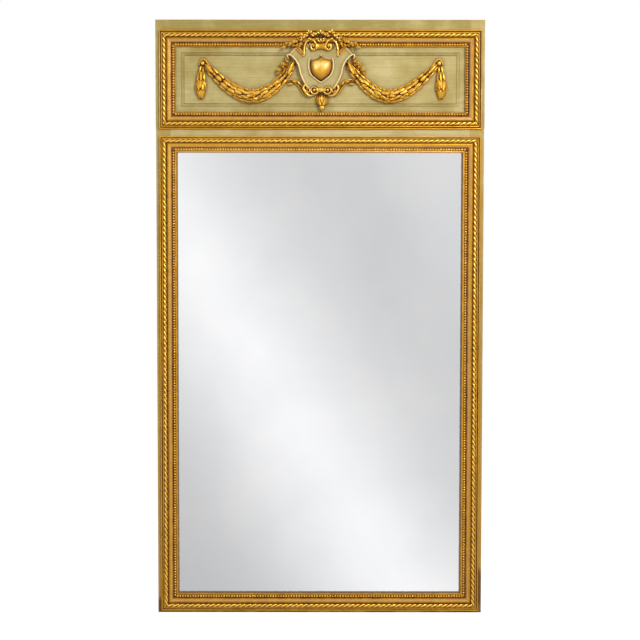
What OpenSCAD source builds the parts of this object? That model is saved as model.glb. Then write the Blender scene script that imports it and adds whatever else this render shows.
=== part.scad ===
// Pier mirror in two sections: a mirror section below, and a frieze section on top of it.
// Millimetres. X runs along the width, +Z up. The wall is at y = 0 and the painted face at
// y = -frame_d. The origin is at the middle of the foot, on the wall plane.

/* [Overall size] */
// Width of the mirror section over its two stiles
mirror_w = 1000; // [940:10:1200]
// Height of the mirror section, which carries the frieze section
mirror_h = 1488; // [1200:4:1700]
// Height of the frieze section
frieze_h = 328; // [328:2:400]
// How far the frieze section stands out past the mirror section on each side
oversail = 1; // [0:0.5:4]
// Depth of the frame, from the wall to its painted face
frame_d = 40; // [38:1:60]

/* [Frame members] */
// Width of each stile
stile_w = 44; // [42:1:48]
// Painted strip that shows outside the side mouldings
side_strip = 8.5; // [7:0.5:10]
// Painted strip above the mirror's moulding
mirror_top_strip = 22; // [20:1:40]
// Painted strip below the mirror's moulding
mirror_foot_strip = 8; // [6:1:20]
// Painted strip above the frieze's moulding
frieze_top_strip = 29; // [27:1:45]
// Painted strip below the frieze's moulding
frieze_foot_strip = 1; // [0.5:0.5:10]
// Set-back of the thin rails' backs, where the cleats and the hangers lie
rail_setback = 12; // [11:0.5:13]
// Thickness of a tenon
tenon_t = 10; // [8:1:12]
// Length of a tenon
tenon_l = 30; // [20:1:36]
// Wood in front of a tenon
tenon_front = 9; // [7:1:12]
// Shoulder at each edge of a tenon
tenon_shoulder = 9; // [8.5:0.5:11]
// Diameter of the pegs that lock the tenons
peg_d = 7; // [5:0.5:8]
// Wood left in front of a peg
peg_cover = 5; // [3:1:8]
// Clearance round a tenon, and between a fastener and its hole
joint_fit = 0.1; // [0.05:0.05:0.2]

/* [Mirror plate and back] */
// Thickness of the mirror plate
plate_t = 5; // [4:0.5:6]
// Gap between the plate's edge and the frame
plate_gap = 6; // [4:1:8]
// Length of a glue block
block_l = 40; // [25:1:60]
// How far a glue block reaches in over the plate or the panel
block_reach = 14; // [11:1:18]
// Spacing wanted between the glue blocks
block_step = 260; // [180:10:400]
// Thickness of the back boards
board_t = 8; // [6:0.5:10]
// Joint left open between two boards, and round them
board_joint = 1; // [0.5:0.5:2]
// Width of the rebate that the boards lie in
board_rebate = 8; // [6:0.5:8.5]
// Depth of the boards' backs below the wall plane
board_recess = 14; // [13.5:0.5:16]
// Diameter of a board nail
nail_d = 2.5; // [2:0.1:3]
// Length of a board nail
nail_l = 18; // [12:1:22]
// Diameter of a nail's head
nail_head_d = 6; // [4:0.5:7]
// Thickness of a nail's head
nail_head_t = 1.2; // [0.8:0.1:1.4]

/* [Carved moulding] */
// Width of the outer fillet
fillet_w = 3; // [2:0.5:5]
// Height of the outer fillet
fillet_h = 6; // [4:0.5:8]
// Width of the hollow between the fillet and the rope
hollow_w = 5.4; // [5:0.2:8]
// Diameter of the carved rope
rope_d = 12.4; // [10:0.2:14]
// Height of the rope's centre over the frame's face
rope_rise = 6; // [5:0.5:7]
// Length of one strand of the rope along the moulding
rope_pitch = 16; // [12:1:22]
// Slant of the strands against the moulding
rope_slant = 38; // [30:1:50]
// Depth of the cut between two strands
rope_cut = 2.8; // [1.5:0.1:3.2]
// Width of the quirk inside the rope
quirk_w = 2.8; // [2:0.2:4]
// Width of the band with its cavetto
band_w = 13; // [10:0.5:16]
// Height of the band's top
band_h = 9; // [7.5:0.5:9]
// Height at the foot of the cavetto
cavetto_foot = 6; // [5:0.5:7]
// Radius of the cavetto
cavetto_r = 9; // [7:0.5:12]
// Width of the quirk outside the beads
bead_quirk_w = 3.9; // [3:0.1:5]
// Diameter of a carved bead
bead_d = 7.4; // [6:0.2:7.8]
// Distance from bead to bead
bead_pitch = 8; // [8:0.5:12]
// Thickness of the ground that carries the beads
bed_t = 4; // [3:0.5:5]
// Wood left inside the beads
bead_margin = 3.6; // [1:0.2:4]
// Width of the sight fillet that the mirror's moulding has inside its beads
sight_w = 3.5; // [2:0.5:6]
// Height of the sight fillet
sight_h = 6; // [5:0.5:8]

/* [Frieze panel] */
// Thickness of the frieze panel
panel_t = 12; // [8:1:14]
// Room round the panel for the wood to move
panel_play = 0.8; // [0.4:0.2:0.9]
// Plain margin between the moulding and the bead on the panel
margin_w = 17; // [12:1:24]
// Width of the flush bead with its two quirks
flush_bead_w = 11; // [8:1:14]
// Width of each quirk beside the flush bead
flush_quirk_w = 2.5; // [1.5:0.5:3]
// Depth of those quirks
flush_quirk_deep = 2; // [1:0.5:3]

/* [Cleats] */
// Distance of each cleat from the middle
cleat_x = 150; // [120:5:230]
// Width of a cleat
cleat_w = 60; // [45:1:80]
// Distance of a cleat's ends from the edges of the rails
cleat_margin = 12; // [10:1:14]
// Diameter of a cleat screw
screw_d = 4; // [3:0.5:5]
// Diameter of its countersunk head
screw_head_d = 8; // [7:0.5:9]
// Length of a cleat screw
screw_l = 26; // [20:1:30]
// Distance between the two screws of a pair
screw_pair = 30; // [20:1:34]

/* [Hangers] */
// Distance of each hanger from the frieze section's side
hanger_margin = 171; // [101:5:211]
// Depth of the ring's axis below the top edge
hanger_drop = 23; // [21:1:25]
// Diameter of the ring's wire
wire_d = 4; // [3:0.5:4.5]
// Radius of the ring's bow, at the middle of its wire
ring_r = 15; // [13:0.5:16]
// Width of the strap
strap_w = 18; // [14:1:24]
// Thickness of the strap
strap_t = 1.5; // [1:0.1:1.8]
// Length of the strap below the ring's axis
strap_l = 38; // [36:0.5:39]
// Width of the strap's eye
eye_w = 14; // [8:1:16]
// Distance of the ring's axis from the rail
axis_lift = 4.3; // [4.2:0.1:4.8]
// Clearance of the wire in the strap's eye
eye_fit = 0.05; // [0.02:0.01:0.09]
// Diameter of a hanger screw
hanger_screw_d = 4; // [3:0.5:4.5]
// Diameter of its countersunk head
hanger_head_d = 7; // [6:0.5:8]
// Length of a hanger screw
hanger_screw_l = 18; // [12:1:22]

/* [Cartouche] */
// Distance from the top moulding's inner edge down to the cartouche's centre
cartouche_drop = 72.5; // [70:0.5:74]
// Width of the cartouche over its ears
cartouche_w = 194; // [190:1:197]
// Thickness of the cartouche's painted ground
ground_t = 13; // [12:0.5:16]
// Half width of its gilt edges
edge_w = 2.6; // [2:0.2:3.4]
// Rise of its gilt edges above the ground
edge_rise = 4.5; // [3:0.5:6]
// Distance of the top volutes from the middle
top_volute_x = 29.5; // [28:0.5:31]
// Radius of the top volutes
top_volute_r = 17; // [15:0.5:17.5]
// Radius of the roll between the top volutes
top_roll_r = 7.5; // [6:0.5:8]
// Distance of the bottom volutes from the middle
foot_volute_x = 21; // [20:0.5:23]
// Radius of the bottom volutes
foot_volute_r = 11; // [9:0.5:11.5]
// Radius of the roll between the bottom volutes
foot_roll_r = 5.5; // [4:0.5:6]
// Height of the shield
shield_h = 74; // [60:1:78]
// Width of the shield
shield_w = 64; // [50:1:68]
// Rise of the shield's dome above the ground
shield_dome = 11; // [8:0.5:14]
// Width of the rim round the shield
shield_rim_w = 3; // [2:0.5:4]
// Height of that rim
shield_rim_h = 3.5; // [2:0.5:5]

/* [Garlands] */
// Distance of the knots from the panel's ends
knot_margin = 83; // [80:1:100]
// Height of the knots above the cartouche's centre
knot_y = 23; // [18:1:26]
// Radius of a knot
knot_r = 8; // [6:0.5:9]
// Where the garland starts beside the cartouche
garland_start_x = 80; // [76:1:84]
// How deep the middle of a garland hangs below its ends
garland_deep = 102; // [90:1:112]
// How far its lowest point lies inside the middle of its span
garland_lean = 10; // [0:1:14]
// Width of a garland at its middle
garland_w = 46; // [36:1:47]
// Height of a garland's leaves at its middle
garland_h = 17; // [12:1:20]
// Length of a garland's leaf
garland_leaf_l = 36; // [30:1:40]
// Share of a garland's width that its solid core fills, under the leaves
garland_core = 0.84; // [0.8:0.02:0.9]
// Distance along the garland from leaf to leaf
garland_step = 25; // [21:1:30]
// Length of the drop below each knot
drop_l = 98; // [80:1:102]
// Width of the drop
drop_w = 37; // [28:1:40]
// Height of the drop's leaves
drop_h = 15; // [10:1:18]
// How far the drop hangs outside its knot
drop_shift = 8; // [4:1:10]

/* [Flowers and leaves] */
// Height of the blossoms above the cartouche's centre
crest_y = 110; // [106:1:112]
// Distance between the blossoms
crest_step = 17; // [15:1:19]
// Radius of a blossom
blossom_r = 10; // [8:0.5:12]
// Height of a blossom
blossom_h = 10; // [7:0.5:13]
// Length of the trailing sprays
spray_l = 96; // [80:1:110]
// Length of a spray's leaf
spray_leaf_l = 18; // [14:1:22]
// Radius of a spray's berry
berry_r = 3.6; // [3:0.1:4.5]
// Reach of the acanthus branches past the bottom volutes
acanthus_l = 62; // [52:1:66]
// Length of the bud below the cartouche
bud_l = 48; // [36:1:50]
// Width of the bud
bud_w = 33; // [24:1:36]

/* [Hidden] */
$fn = 48;
ornament_fn = 8;
green = [0.69, 0.65, 0.44];
gold = [0.80, 0.60, 0.28];
pine = [0.62, 0.47, 0.31];
oak = [0.50, 0.36, 0.22];
steel = [0.62, 0.62, 0.60];
silvered = [0.80, 0.82, 0.84];
seam = 0.2;
over = 1;
board_count = 5;

seat_w = stile_w - side_strip;
rope_r = rope_d / 2;
rope_u = fillet_w + hollow_w + rope_r;
rope_top = rope_rise + rope_r;
band_u = fillet_w + hollow_w + rope_d + quirk_w;
bead_u = band_u + band_w + bead_quirk_w + bead_d / 2;
bead_rise = bed_t + bead_d / 10;
moulding_w = bead_u + bead_d / 2 + bead_margin;
relief_low = max(band_h, bead_rise + bead_d / 2) + seam;
relief_high = rope_top + seam;

foot_h = mirror_foot_strip + seat_w;
head_h = mirror_top_strip + seat_w;
open_w = mirror_w - 2 * stile_w;
open_low = foot_h;
open_top = mirror_h - head_h;
open_h = open_top - open_low;
frieze_w = mirror_w + 2 * oversail;
frieze_top = mirror_h + frieze_h;
frieze_open_w = frieze_w - 2 * stile_w;
frieze_open_low = mirror_h + frieze_foot_strip + seat_w;
frieze_open_top = frieze_top - frieze_top_strip - seat_w;
panel_w = frieze_w - 2 * (side_strip + moulding_w);
panel_low = mirror_h + frieze_foot_strip + moulding_w;
panel_top = frieze_top - frieze_top_strip - moulding_w;

plate_back = frame_d - plate_t;
board_front = board_recess + board_t;
boards_w = open_w + 2 * (board_rebate - board_joint);
board_w = (boards_w - (board_count - 1) * board_joint) / board_count;
cleat_low = open_top + cleat_margin;
cleat_top = frieze_top - cleat_margin;
screw_rows = [mirror_h - mirror_top_strip, mirror_h + (frieze_open_low - mirror_h) / 2,
              frieze_top - frieze_top_strip];
hanger_x = frieze_w / 2 - hanger_margin;
hanger_z = frieze_top - hanger_drop;
axis_y = -rail_setback + axis_lift;
eye_r = wire_d / 2 + eye_fit;
hanger_screw_rows = [hanger_z - strap_l * 0.58, hanger_z - strap_l * 0.85];

half = cartouche_w / 2;
orn_z = panel_top - cartouche_drop;
top_volute = [top_volute_x, half * 0.763];
foot_volute = [foot_volute_x, -half * 0.63];
ear_notch = [half * 0.545, half * 0.44];
ear_path = [ear_notch, [0.66, 0.58] * half, [0.82, 0.675] * half, [0.93, 0.60] * half,
            [0.985, 0.46] * half];
side_path = [[0.985, 0.45] * half, [0.866, 0.38] * half, [0.742, 0.247] * half,
             [0.66, 0.10] * half, [0.62, -0.15] * half, [0.55, -0.35] * half,
             [0.44, -0.52] * half, [0.37, -0.66] * half, [0.30, -0.74] * half];
shield_mid = [0, half * 0.015];
knot_x = panel_w / 2 - knot_margin;
garland_half = (knot_x - garland_start_x) / 2;
garland_mid = (knot_x + garland_start_x) / 2;
garland_low = knot_y - garland_deep;
// How much narrower a garland is at its ends, and how late along it that starts
garland_taper = 0.74;
garland_power = 1.7;
garland_arc = half_length(24);

sides = ["bottom", "right", "top", "left"];

// A smooth curve through points chosen by hand, with n steps from each point to the next
function bend(a, b, c, d, t) =
    (2 * b + (c - a) * t + (2 * a - 5 * b + 4 * c - d) * t * t
     + (3 * b - a - 3 * c + d) * t * t * t) / 2;
function smooth(p, n) = [
    for (i = [0 : len(p) - 2]) for (j = [0 : n - 1])
        bend(p[max(i - 1, 0)], p[i], p[i + 1], p[min(i + 2, len(p) - 1)], j / n),
    p[len(p) - 1]
];
function spiral(c, r0, r1, a0, a1, n) = [
    for (i = [0 : n])
        let (a = a0 + (a1 - a0) * i / n, r = r0 + (r1 - r0) * i / n)
            c + r * [cos(a), sin(a)]
];
function taper(n, w0, w1, w2) = [
    for (i = [0 : n - 1])
        let (t = i / (n - 1))
            t < 0.5 ? w0 + (w1 - w0) * 2 * t : w1 + (w2 - w1) * (2 * t - 1)
];

// A block between two corners
module slab(a, b) {
    translate(a) cube(b - a);
}

// Turns a flat drawing, x along the width and y up, to face the room at the painted face
module on_face(z) {
    translate([0, -frame_d, z]) rotate([90, 0, 0]) children();
}

module at_side(side, w, h) {
    rotate([0, 0, 90 * side]) translate([0, -(side % 2 == 0 ? h : w) / 2, 0]) children();
}

module mirrored(left) {
    mirror([left ? 1 : 0, 0, 0]) children();
}

// A round bar along the depth, from y = back towards the room
module dowel(x, z, r, back, length) {
    translate([x, back, z]) rotate([90, 0, 0]) cylinder(r = r, h = length);
}

// Frame

function tenon_y() = -frame_d + tenon_front;

module tenon_space(half_open, z0, z1, fit) {
    slab([half_open - over, tenon_y() - fit, z0 + tenon_shoulder - fit],
         [half_open + tenon_l + fit, tenon_y() + tenon_t + fit, z1 - tenon_shoulder + fit]);
}

module peg_at(half_open, z0, z1, fit) {
    dowel(half_open + tenon_l / 2, (z0 + z1) / 2, peg_d / 2 + fit, fit,
          frame_d - peg_cover + 2 * fit);
}

// The right-hand stile of a section whose two rails fill z0 to z1 and z2 to z3
module stile(half_open, z0, z1, z2, z3) {
    difference() {
        slab([half_open, -frame_d, z0], [half_open + stile_w, 0, z3]);
        tenon_space(half_open, z0, z1, joint_fit);
        tenon_space(half_open, z2, z3, joint_fit);
        peg_at(half_open, z0, z1, joint_fit);
        peg_at(half_open, z2, z3, joint_fit);
        children();
    }
}

module rail(half_open, z0, z1, back) {
    difference() {
        union() {
            slab([-half_open, -frame_d, z0], [half_open, -back, z1]);
            for (left = [false, true]) mirrored(left) tenon_space(half_open, z0, z1, 0);
        }
        for (left = [false, true]) mirrored(left) peg_at(half_open, z0, z1, joint_fit);
        children();
    }
}

// The rebate that the back boards lie in
module board_space() {
    slab([-open_w / 2 - board_rebate, -board_front, open_low - board_rebate],
         [open_w / 2 + board_rebate, over, open_top + board_rebate]);
}

module mirror_stile(left) {
    color(green) mirrored(left) stile(open_w / 2, 0, foot_h, open_top, mirror_h) board_space();
}

module frieze_stile(left) {
    color(green) mirrored(left)
        stile(frieze_open_w / 2, mirror_h, frieze_open_low, frieze_open_top, frieze_top);
}

module top_rail() {
    color(green) rail(open_w / 2, open_top, mirror_h, rail_setback) {
        board_space();
        all_nails(joint_fit);
        all_cleat_screws(joint_fit);
    }
}

module bottom_rail() {
    color(green) rail(open_w / 2, 0, foot_h, 0) {
        board_space();
        all_nails(joint_fit);
    }
}

module frieze_top_rail() {
    color(green) rail(frieze_open_w / 2, frieze_open_top, frieze_top, rail_setback) {
        all_cleat_screws(joint_fit);
        all_hanger_screws(joint_fit);
    }
}

module frieze_bottom_rail() {
    color(green) rail(frieze_open_w / 2, mirror_h, frieze_open_low, rail_setback)
        all_cleat_screws(joint_fit);
}

module frame_pegs() {
    color(oak) for (left = [false, true]) mirrored(left) {
        peg_at(open_w / 2, 0, foot_h, 0);
        peg_at(open_w / 2, open_top, mirror_h, 0);
        peg_at(frieze_open_w / 2, mirror_h, frieze_open_low, 0);
        peg_at(frieze_open_w / 2, frieze_open_top, frieze_top, 0);
    }
}

// Panel

module loop_groove(inset) {
    w = panel_w - 2 * inset;
    h = panel_top - panel_low - 2 * inset;
    translate([0, 0, -flush_quirk_deep]) linear_extrude(flush_quirk_deep + over)
        difference() {
            square([w, h], center = true);
            square([w - 2 * flush_quirk_w, h - 2 * flush_quirk_w], center = true);
        }
}

module frieze_panel() {
    color(green) difference() {
        slab([-frieze_open_w / 2 + panel_play, -frame_d, frieze_open_low + panel_play],
             [frieze_open_w / 2 - panel_play, -frame_d + panel_t, frieze_open_top - panel_play]);
        on_face((panel_low + panel_top) / 2) {
            loop_groove(margin_w);
            loop_groove(margin_w + flush_bead_w - flush_quirk_w);
        }
    }
}

// Glue blocks round an opening, behind a sheet whose back lies at y = -front
module blocks_round(w, z0, z1, front, deep) {
    translate([0, -front, (z0 + z1) / 2]) rotate([90, 0, 0]) for (side = [0 : 3])
        at_side(side, w, z1 - z0) {
            run = (side % 2 == 0 ? w : z1 - z0) - 2 * block_reach - block_l;
            n = max(1, floor(run / block_step));
            for (i = [0 : n - 1])
                translate([(n == 1 ? 0 : (i / (n - 1) - 0.5) * run) - block_l / 2, 0, 0])
                    rotate([90, 0, 90]) linear_extrude(block_l)
                        polygon([[0, 0], [block_reach, 0], [block_reach / 4, -deep], [0, -deep]]);
        }
}

module panel_blocks() {
    color(pine) blocks_round(frieze_open_w, frieze_open_low, frieze_open_top, frame_d - panel_t,
                             panel_t);
}

// Carved mouldings

module profile(w, sight) {
    difference() {
        union() {
            square([w, bed_t]);
            square([fillet_w, fillet_h]);
            translate([rope_u, rope_rise]) circle(r = rope_r);
            translate([rope_u - rope_r, 0]) square([rope_d, rope_rise]);
            translate([band_u, 0]) square([band_w, band_h]);
            if (sight) translate([w - sight_w, 0]) square([sight_w, sight_h]);
        }
        translate([fillet_w + hollow_w / 2, bed_t + hollow_w / 4]) circle(r = hollow_w / 2);
        translate([band_u + band_w, cavetto_foot + cavetto_r]) circle(r = cavetto_r);
        translate([band_u - quirk_w, bed_t * 0.6]) square([quirk_w, bed_t]);
    }
}

module rope_cuts(run) {
    n = floor(run / rope_pitch);
    reach = (rope_r + quirk_w / 2) / sin(rope_slant);
    for (i = [0 : n - 1])
        translate([(i - (n - 1) / 2) * rope_pitch, rope_u, rope_top - rope_cut])
            rotate([0, 0, rope_slant]) rotate([45, 0, 0])
                translate([-reach, 0, 0]) cube([2 * reach, rope_r, rope_r]);
}

module bead_row(run) {
    n = floor(run / bead_pitch);
    for (i = [0 : n - 1])
        translate([(i - (n - 1) / 2) * bead_pitch, bead_u, bead_rise]) sphere(d = bead_d);
}

// One mitred stick, its length along x and its outer edge at y = 0
module stick(run, sight) {
    w = moulding_w + (sight ? sight_w : 0);
    intersection() {
        union() {
            difference() {
                rotate([90, 0, 90]) translate([0, 0, -run / 2]) linear_extrude(run)
                    profile(w, sight);
                rope_cuts(run);
            }
            bead_row(run - 2 * bead_u);
        }
        linear_extrude(frame_d)
            polygon([[-run / 2, 0], [run / 2, 0], [run / 2 - w, w], [w - run / 2, w]]);
    }
}

module mirror_moulding(side) {
    w = mirror_w - 2 * side_strip;
    h = mirror_h - mirror_top_strip - mirror_foot_strip;
    color(gold) on_face(mirror_foot_strip + h / 2) at_side(side, w, h)
        stick(side % 2 == 0 ? w : h, true);
}

module frieze_moulding(side) {
    w = frieze_w - 2 * side_strip;
    h = frieze_h - frieze_top_strip - frieze_foot_strip;
    color(gold) on_face(mirror_h + frieze_foot_strip + h / 2) at_side(side, w, h)
        stick(side % 2 == 0 ? w : h, false);
}

// Mirror plate and back

module mirror_plate() {
    color(silvered)
        slab([-open_w / 2 + plate_gap, -frame_d, open_low + plate_gap],
             [open_w / 2 - plate_gap, -plate_back, open_top - plate_gap]);
}

module setting_blocks() {
    color(pine) for (s = [-1, 1])
        slab([s * open_w / 4 - block_l / 2, -frame_d, open_low],
             [s * open_w / 4 + block_l / 2, -plate_back, open_low + plate_gap]);
}

module glazing_blocks() {
    color(pine) blocks_round(open_w, open_low, open_top, plate_back,
                             plate_back - board_front - joint_fit);
}

function board_x(i) = -boards_w / 2 + (i - 1) * (board_w + board_joint);

module back_board(i) {
    color(pine) difference() {
        slab([board_x(i), -board_front, open_low - board_rebate + board_joint],
             [board_x(i) + board_w, -board_recess, open_top + board_rebate - board_joint]);
        all_nails(joint_fit);
    }
}

module all_nails(fit) {
    for (i = [1 : board_count]) for (k = [0.25, 0.75])
        for (z = [open_low - board_rebate / 2, open_top + board_rebate / 2]) {
            x = board_x(i) + k * board_w;
            dowel(x, z, nail_d / 2 + fit, -board_recess, nail_l + fit);
            dowel(x, z, nail_head_d / 2 + fit, -board_recess + nail_head_t, nail_head_t);
        }
}

module board_nails() {
    color(steel) all_nails(0);
}

// Cleats that tie the frieze section to the mirror section

// A countersunk screw driven in from y = back, with its head flush
module screw(x, z, back, d, head_d, length, fit) {
    sink = (head_d - d) / 2;
    translate([x, back, z]) rotate([90, 0, 0]) {
        cylinder(d1 = head_d + 2 * fit, d2 = d + 2 * fit, h = sink);
        cylinder(d = d + 2 * fit, h = length + fit);
    }
}

module all_cleat_screws(fit) {
    for (left = [false, true]) mirrored(left) for (z = screw_rows)
        for (s = [-1, 1])
            screw(cleat_x + s * screw_pair / 2, z, 0, screw_d, screw_head_d, screw_l, fit);
}

module cleat(left) {
    color(oak) difference() {
        mirrored(left) slab([cleat_x - cleat_w / 2, -rail_setback, cleat_low],
                            [cleat_x + cleat_w / 2, 0, cleat_top]);
        all_cleat_screws(joint_fit);
    }
}

module cleat_screws() {
    color(steel) all_cleat_screws(0);
}

// Hangers

module all_hanger_screws(fit) {
    for (left = [false, true]) mirrored(left) for (z = hanger_screw_rows)
        screw(hanger_x, z, -rail_setback + strap_t, hanger_screw_d, hanger_head_d,
              hanger_screw_l, fit);
}

module hanger_screws() {
    color(steel) all_hanger_screws(0);
}

module hanger_strap(left) {
    color(steel) difference() {
        mirrored(left) {
            slab([hanger_x - strap_w / 2, -rail_setback, hanger_z - strap_l],
                 [hanger_x + strap_w / 2, -rail_setback + strap_t, hanger_z]);
            slab([hanger_x - eye_w / 2, -rail_setback, hanger_z - eye_r - strap_t],
                 [hanger_x + eye_w / 2, axis_y, hanger_z]);
            translate([hanger_x - eye_w / 2, axis_y, hanger_z]) rotate([0, 90, 0])
                cylinder(r = eye_r + strap_t, h = eye_w);
        }
        mirrored(left) translate([hanger_x - eye_w, axis_y, hanger_z]) rotate([0, 90, 0])
            cylinder(r = eye_r, h = 2 * eye_w);
        all_hanger_screws(joint_fit);
    }
}

// The ring hangs down from its straight bar, which turns in the strap's eye
module hanger_ring(left) {
    color(steel) mirrored(left) translate([hanger_x, axis_y, hanger_z]) {
        translate([-ring_r, 0, 0]) rotate([0, 90, 0]) cylinder(d = wire_d, h = 2 * ring_r);
        for (s = [-1, 1]) translate([s * ring_r, 0, 0]) sphere(d = wire_d);
        rotate([90, 180, 0]) rotate_extrude(angle = 180) translate([ring_r, 0]) circle(d = wire_d);
    }
}

// Ornament: the drawings are flat, with the cartouche's centre at the origin

module ornament() {
    on_face(orn_z) children();
}

// A band with a rounded back that follows a path, half_w wide to each side and up to rise high
module strand(path, half_w, rise, base) {
    section = [[-1, 0], [-0.72, 0.68], [0, 1], [0.72, 0.68], [1, 0]];
    n = len(path);
    m = len(section);
    runs = [for (i = [0 : n - 1]) path[min(i + 1, n - 1)] - path[max(i - 1, 0)]];
    points = [
        for (i = [0 : n - 1]) for (s = section)
            let (d = runs[i] / norm(runs[i]))
                [path[i].x - d.y * s.x * half_w[i], path[i].y + d.x * s.x * half_w[i],
                 base + s.y * rise[i]]
    ];
    walls = [
        for (i = [0 : n - 2]) for (j = [0 : m - 1])
            let (k = (j + 1) % m)
                each [[i * m + j, i * m + k, (i + 1) * m + k],
                      [i * m + j, (i + 1) * m + k, (i + 1) * m + j]]
    ];
    ends = [[for (j = [m - 1 : -1 : 0]) j], [for (j = [0 : m - 1]) (n - 1) * m + j]];
    polyhedron(points, concat(walls, ends));
}

// A pointed leaf with a ridge, from its stalk at the origin out along x
module leaf(l, w, h) {
    hull() polyhedron(
        [[0, 0, 0], [l, 0, 0], [0.45 * l, w / 2, 0], [0.45 * l, -w / 2, 0],
         [0.2 * l, 0, 0.75 * h], [0.65 * l, 0, h]],
        [[0, 3, 1, 2], [0, 2, 4], [2, 5, 4], [2, 1, 5], [0, 4, 3], [3, 4, 5], [3, 5, 1]]);
}

module leaf_at(p, angle, l, w, h, base, lift) {
    translate([p.x, p.y, base]) rotate([0, 0, angle]) rotate([0, -lift, 0]) leaf(l, w, h);
}

module blossom(p, r, h, base) {
    translate([p.x, p.y, base]) {
        for (a = [18 : 72 : 360]) rotate([0, 0, a]) rotate([0, -12, 0]) leaf(r, r * 0.8, h * 0.6);
        translate([0, 0, h * 0.35]) sphere(r = r * 0.32, $fn = ornament_fn);
    }
}

// What stands over the carved moulding is hollowed behind to clear it
module moulding_clear() {
    edge = cartouche_drop;
    translate([-panel_w / 2, edge - seam, -over]) cube([panel_w, moulding_w, relief_low + over]);
    translate([-panel_w / 2, edge + moulding_w - band_u + quirk_w / 2, -over])
        cube([panel_w, 2 * moulding_w, relief_high + over]);
}

function ground_half() = concat(
    [[0, top_volute.y + top_roll_r]], [top_volute],
    smooth(ear_path, 3), smooth(side_path, 2), [[0, foot_volute.y - foot_roll_r / 2]]
);
// The other half of an outline that starts and ends on the middle line
function flip(p) = [for (i = [len(p) - 2 : -1 : 1]) [-p[i].x, p[i].y]];

module ground_outline() {
    polygon(concat(ground_half(), flip(ground_half())));
}

// The room that the cartouche takes, for what lies beside it
module cartouche_space() {
    translate([0, 0, -over]) linear_extrude(frame_d) offset(delta = edge_w + seam) {
        ground_outline();
        for (s = [-1, 1]) {
            translate([s * top_volute.x, top_volute.y]) circle(r = top_volute_r, $fn = 16);
            translate([s * foot_volute.x, foot_volute.y]) circle(r = foot_volute_r, $fn = 16);
        }
    }
}

function shield_side(w, h) = [
    [0, 0.58 * h], [0.15 * w, 0.46 * h], [0.33 * w, 0.39 * h], [0.5 * w, 0.37 * h],
    [0.515 * w, 0.14 * h], [0.49 * w, -0.04 * h], [0.40 * w, -0.22 * h],
    [0.22 * w, -0.37 * h], [0, -0.46 * h]
];
function shield_half(w, h) = concat(
    smooth([for (i = [0 : 3]) shield_side(w, h)[i]], 2),
    smooth([for (i = [3 : 8]) shield_side(w, h)[i]], 2)
);

module shield_outline(grow) {
    side = shield_half(shield_w + 2 * grow, shield_h + 2 * grow);
    translate(shield_mid) polygon(concat(side, flip(side)));
}

module cartouche_strap(path) {
    end = path[len(path) - 1];
    back = path[len(path) - 2];
    run = concat(path, [end + (end - back) / norm(end - back) * edge_w]);
    n = len(run);
    strand(run, taper(n, edge_w, edge_w, edge_w * 0.8),
           taper(n, edge_rise, edge_rise, edge_rise * 1.4), ground_t - over);
}

module volute(c, r, a0, turn, path) {
    run = concat(path, spiral(c, r, r * 0.34, a0, a0 + turn, 12));
    n = len(run);
    strand(run, taper(n, edge_w, edge_w, edge_w * 0.7),
           taper(n, edge_rise + over, edge_rise * 1.6, edge_rise * 2), ground_t - over);
    translate([c.x, c.y, 0]) {
        domed(r * 0.26, ground_t + edge_rise * 1.6);
        cylinder(r = r, h = ground_t, $fn = 16);
    }
}

// A round boss with a rounded top
module domed(r, h) {
    hull() {
        cylinder(r = r, h = h - r / 2, $fn = ornament_fn);
        cylinder(r = r / 2, h = h, $fn = ornament_fn);
    }
}

// A bar along x, waisted at both ends
module barrel(y, r, length) {
    translate([-length / 2, y, ground_t]) rotate([0, 90, 0]) hull() {
        cylinder(r = r * 0.85, h = length, $fn = 12);
        translate([0, 0, length / 4]) cylinder(r = r, h = length / 2, $fn = 12);
    }
}

module roll(c, r) {
    barrel(c.y, r, 2 * c.x);
    barrel(c.y, r * 1.15, r / 2);
}

module cartouche() {
    color(gold) ornament() difference() {
        union() {
            linear_extrude(ground_t) ground_outline();
            roll(top_volute, top_roll_r);
            roll(foot_volute, foot_roll_r);
            for (left = [false, true]) mirrored(left) {
                volute(top_volute, top_volute_r, 0, 480,
                       smooth([ear_notch, [half * 0.52, half * 0.58],
                               top_volute + [top_volute_r, -half * 0.08]], 2));
                volute(foot_volute, foot_volute_r, 80, 400, []);
                cartouche_strap(smooth(ear_path, 3));
                cartouche_strap(smooth(side_path, 2));
                translate([half * 0.985, half * 0.455, 0]) domed(edge_w, ground_t + edge_rise);
            }
            linear_extrude(ground_t + shield_rim_h) difference() {
                shield_outline(shield_rim_w + seam);
                shield_outline(seam);
            }
        }
        moulding_clear();
    }
}

module shield() {
    r = (pow(shield_h / 2, 2) + pow(shield_dome, 2)) / (2 * shield_dome);
    color(gold) ornament() intersection() {
        translate([0, 0, ground_t]) linear_extrude(shield_dome + over) shield_outline(0);
        translate([0, shield_mid.y, ground_t + shield_dome - r]) sphere(r = r + over / 2);
    }
}

module crest_flowers() {
    stem = smooth([for (i = [-2 : 2]) [i * crest_step * 1.2, crest_y - 1.5 * abs(i)]], 3);
    n = len(stem);
    color(gold) ornament() {
        strand(stem, taper(n, 3, 4, 3), taper(n, 4, 5, 4), relief_high);
        for (i = [-2 : 2])
            blossom([i * crest_step, crest_y + (abs(i) == 1 ? -3 : 2)],
                    blossom_r, blossom_h * (1.2 - 0.15 * abs(i)), relief_high);
        for (i = [-2 : 2])
            leaf_at([i * crest_step * 0.8, crest_y - 4], 90 - 28 * i, blossom_r * 1.5,
                    blossom_r * 0.7, blossom_h * 0.5, relief_high, 6);
        for (i = [-1.5 : 1.5])
            leaf_at([i * crest_step, crest_y - 2], 270 + 12 * i, blossom_r * 1.3,
                    blossom_r * 0.7, blossom_h * 0.5, relief_high, 4);
    }
}

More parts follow.
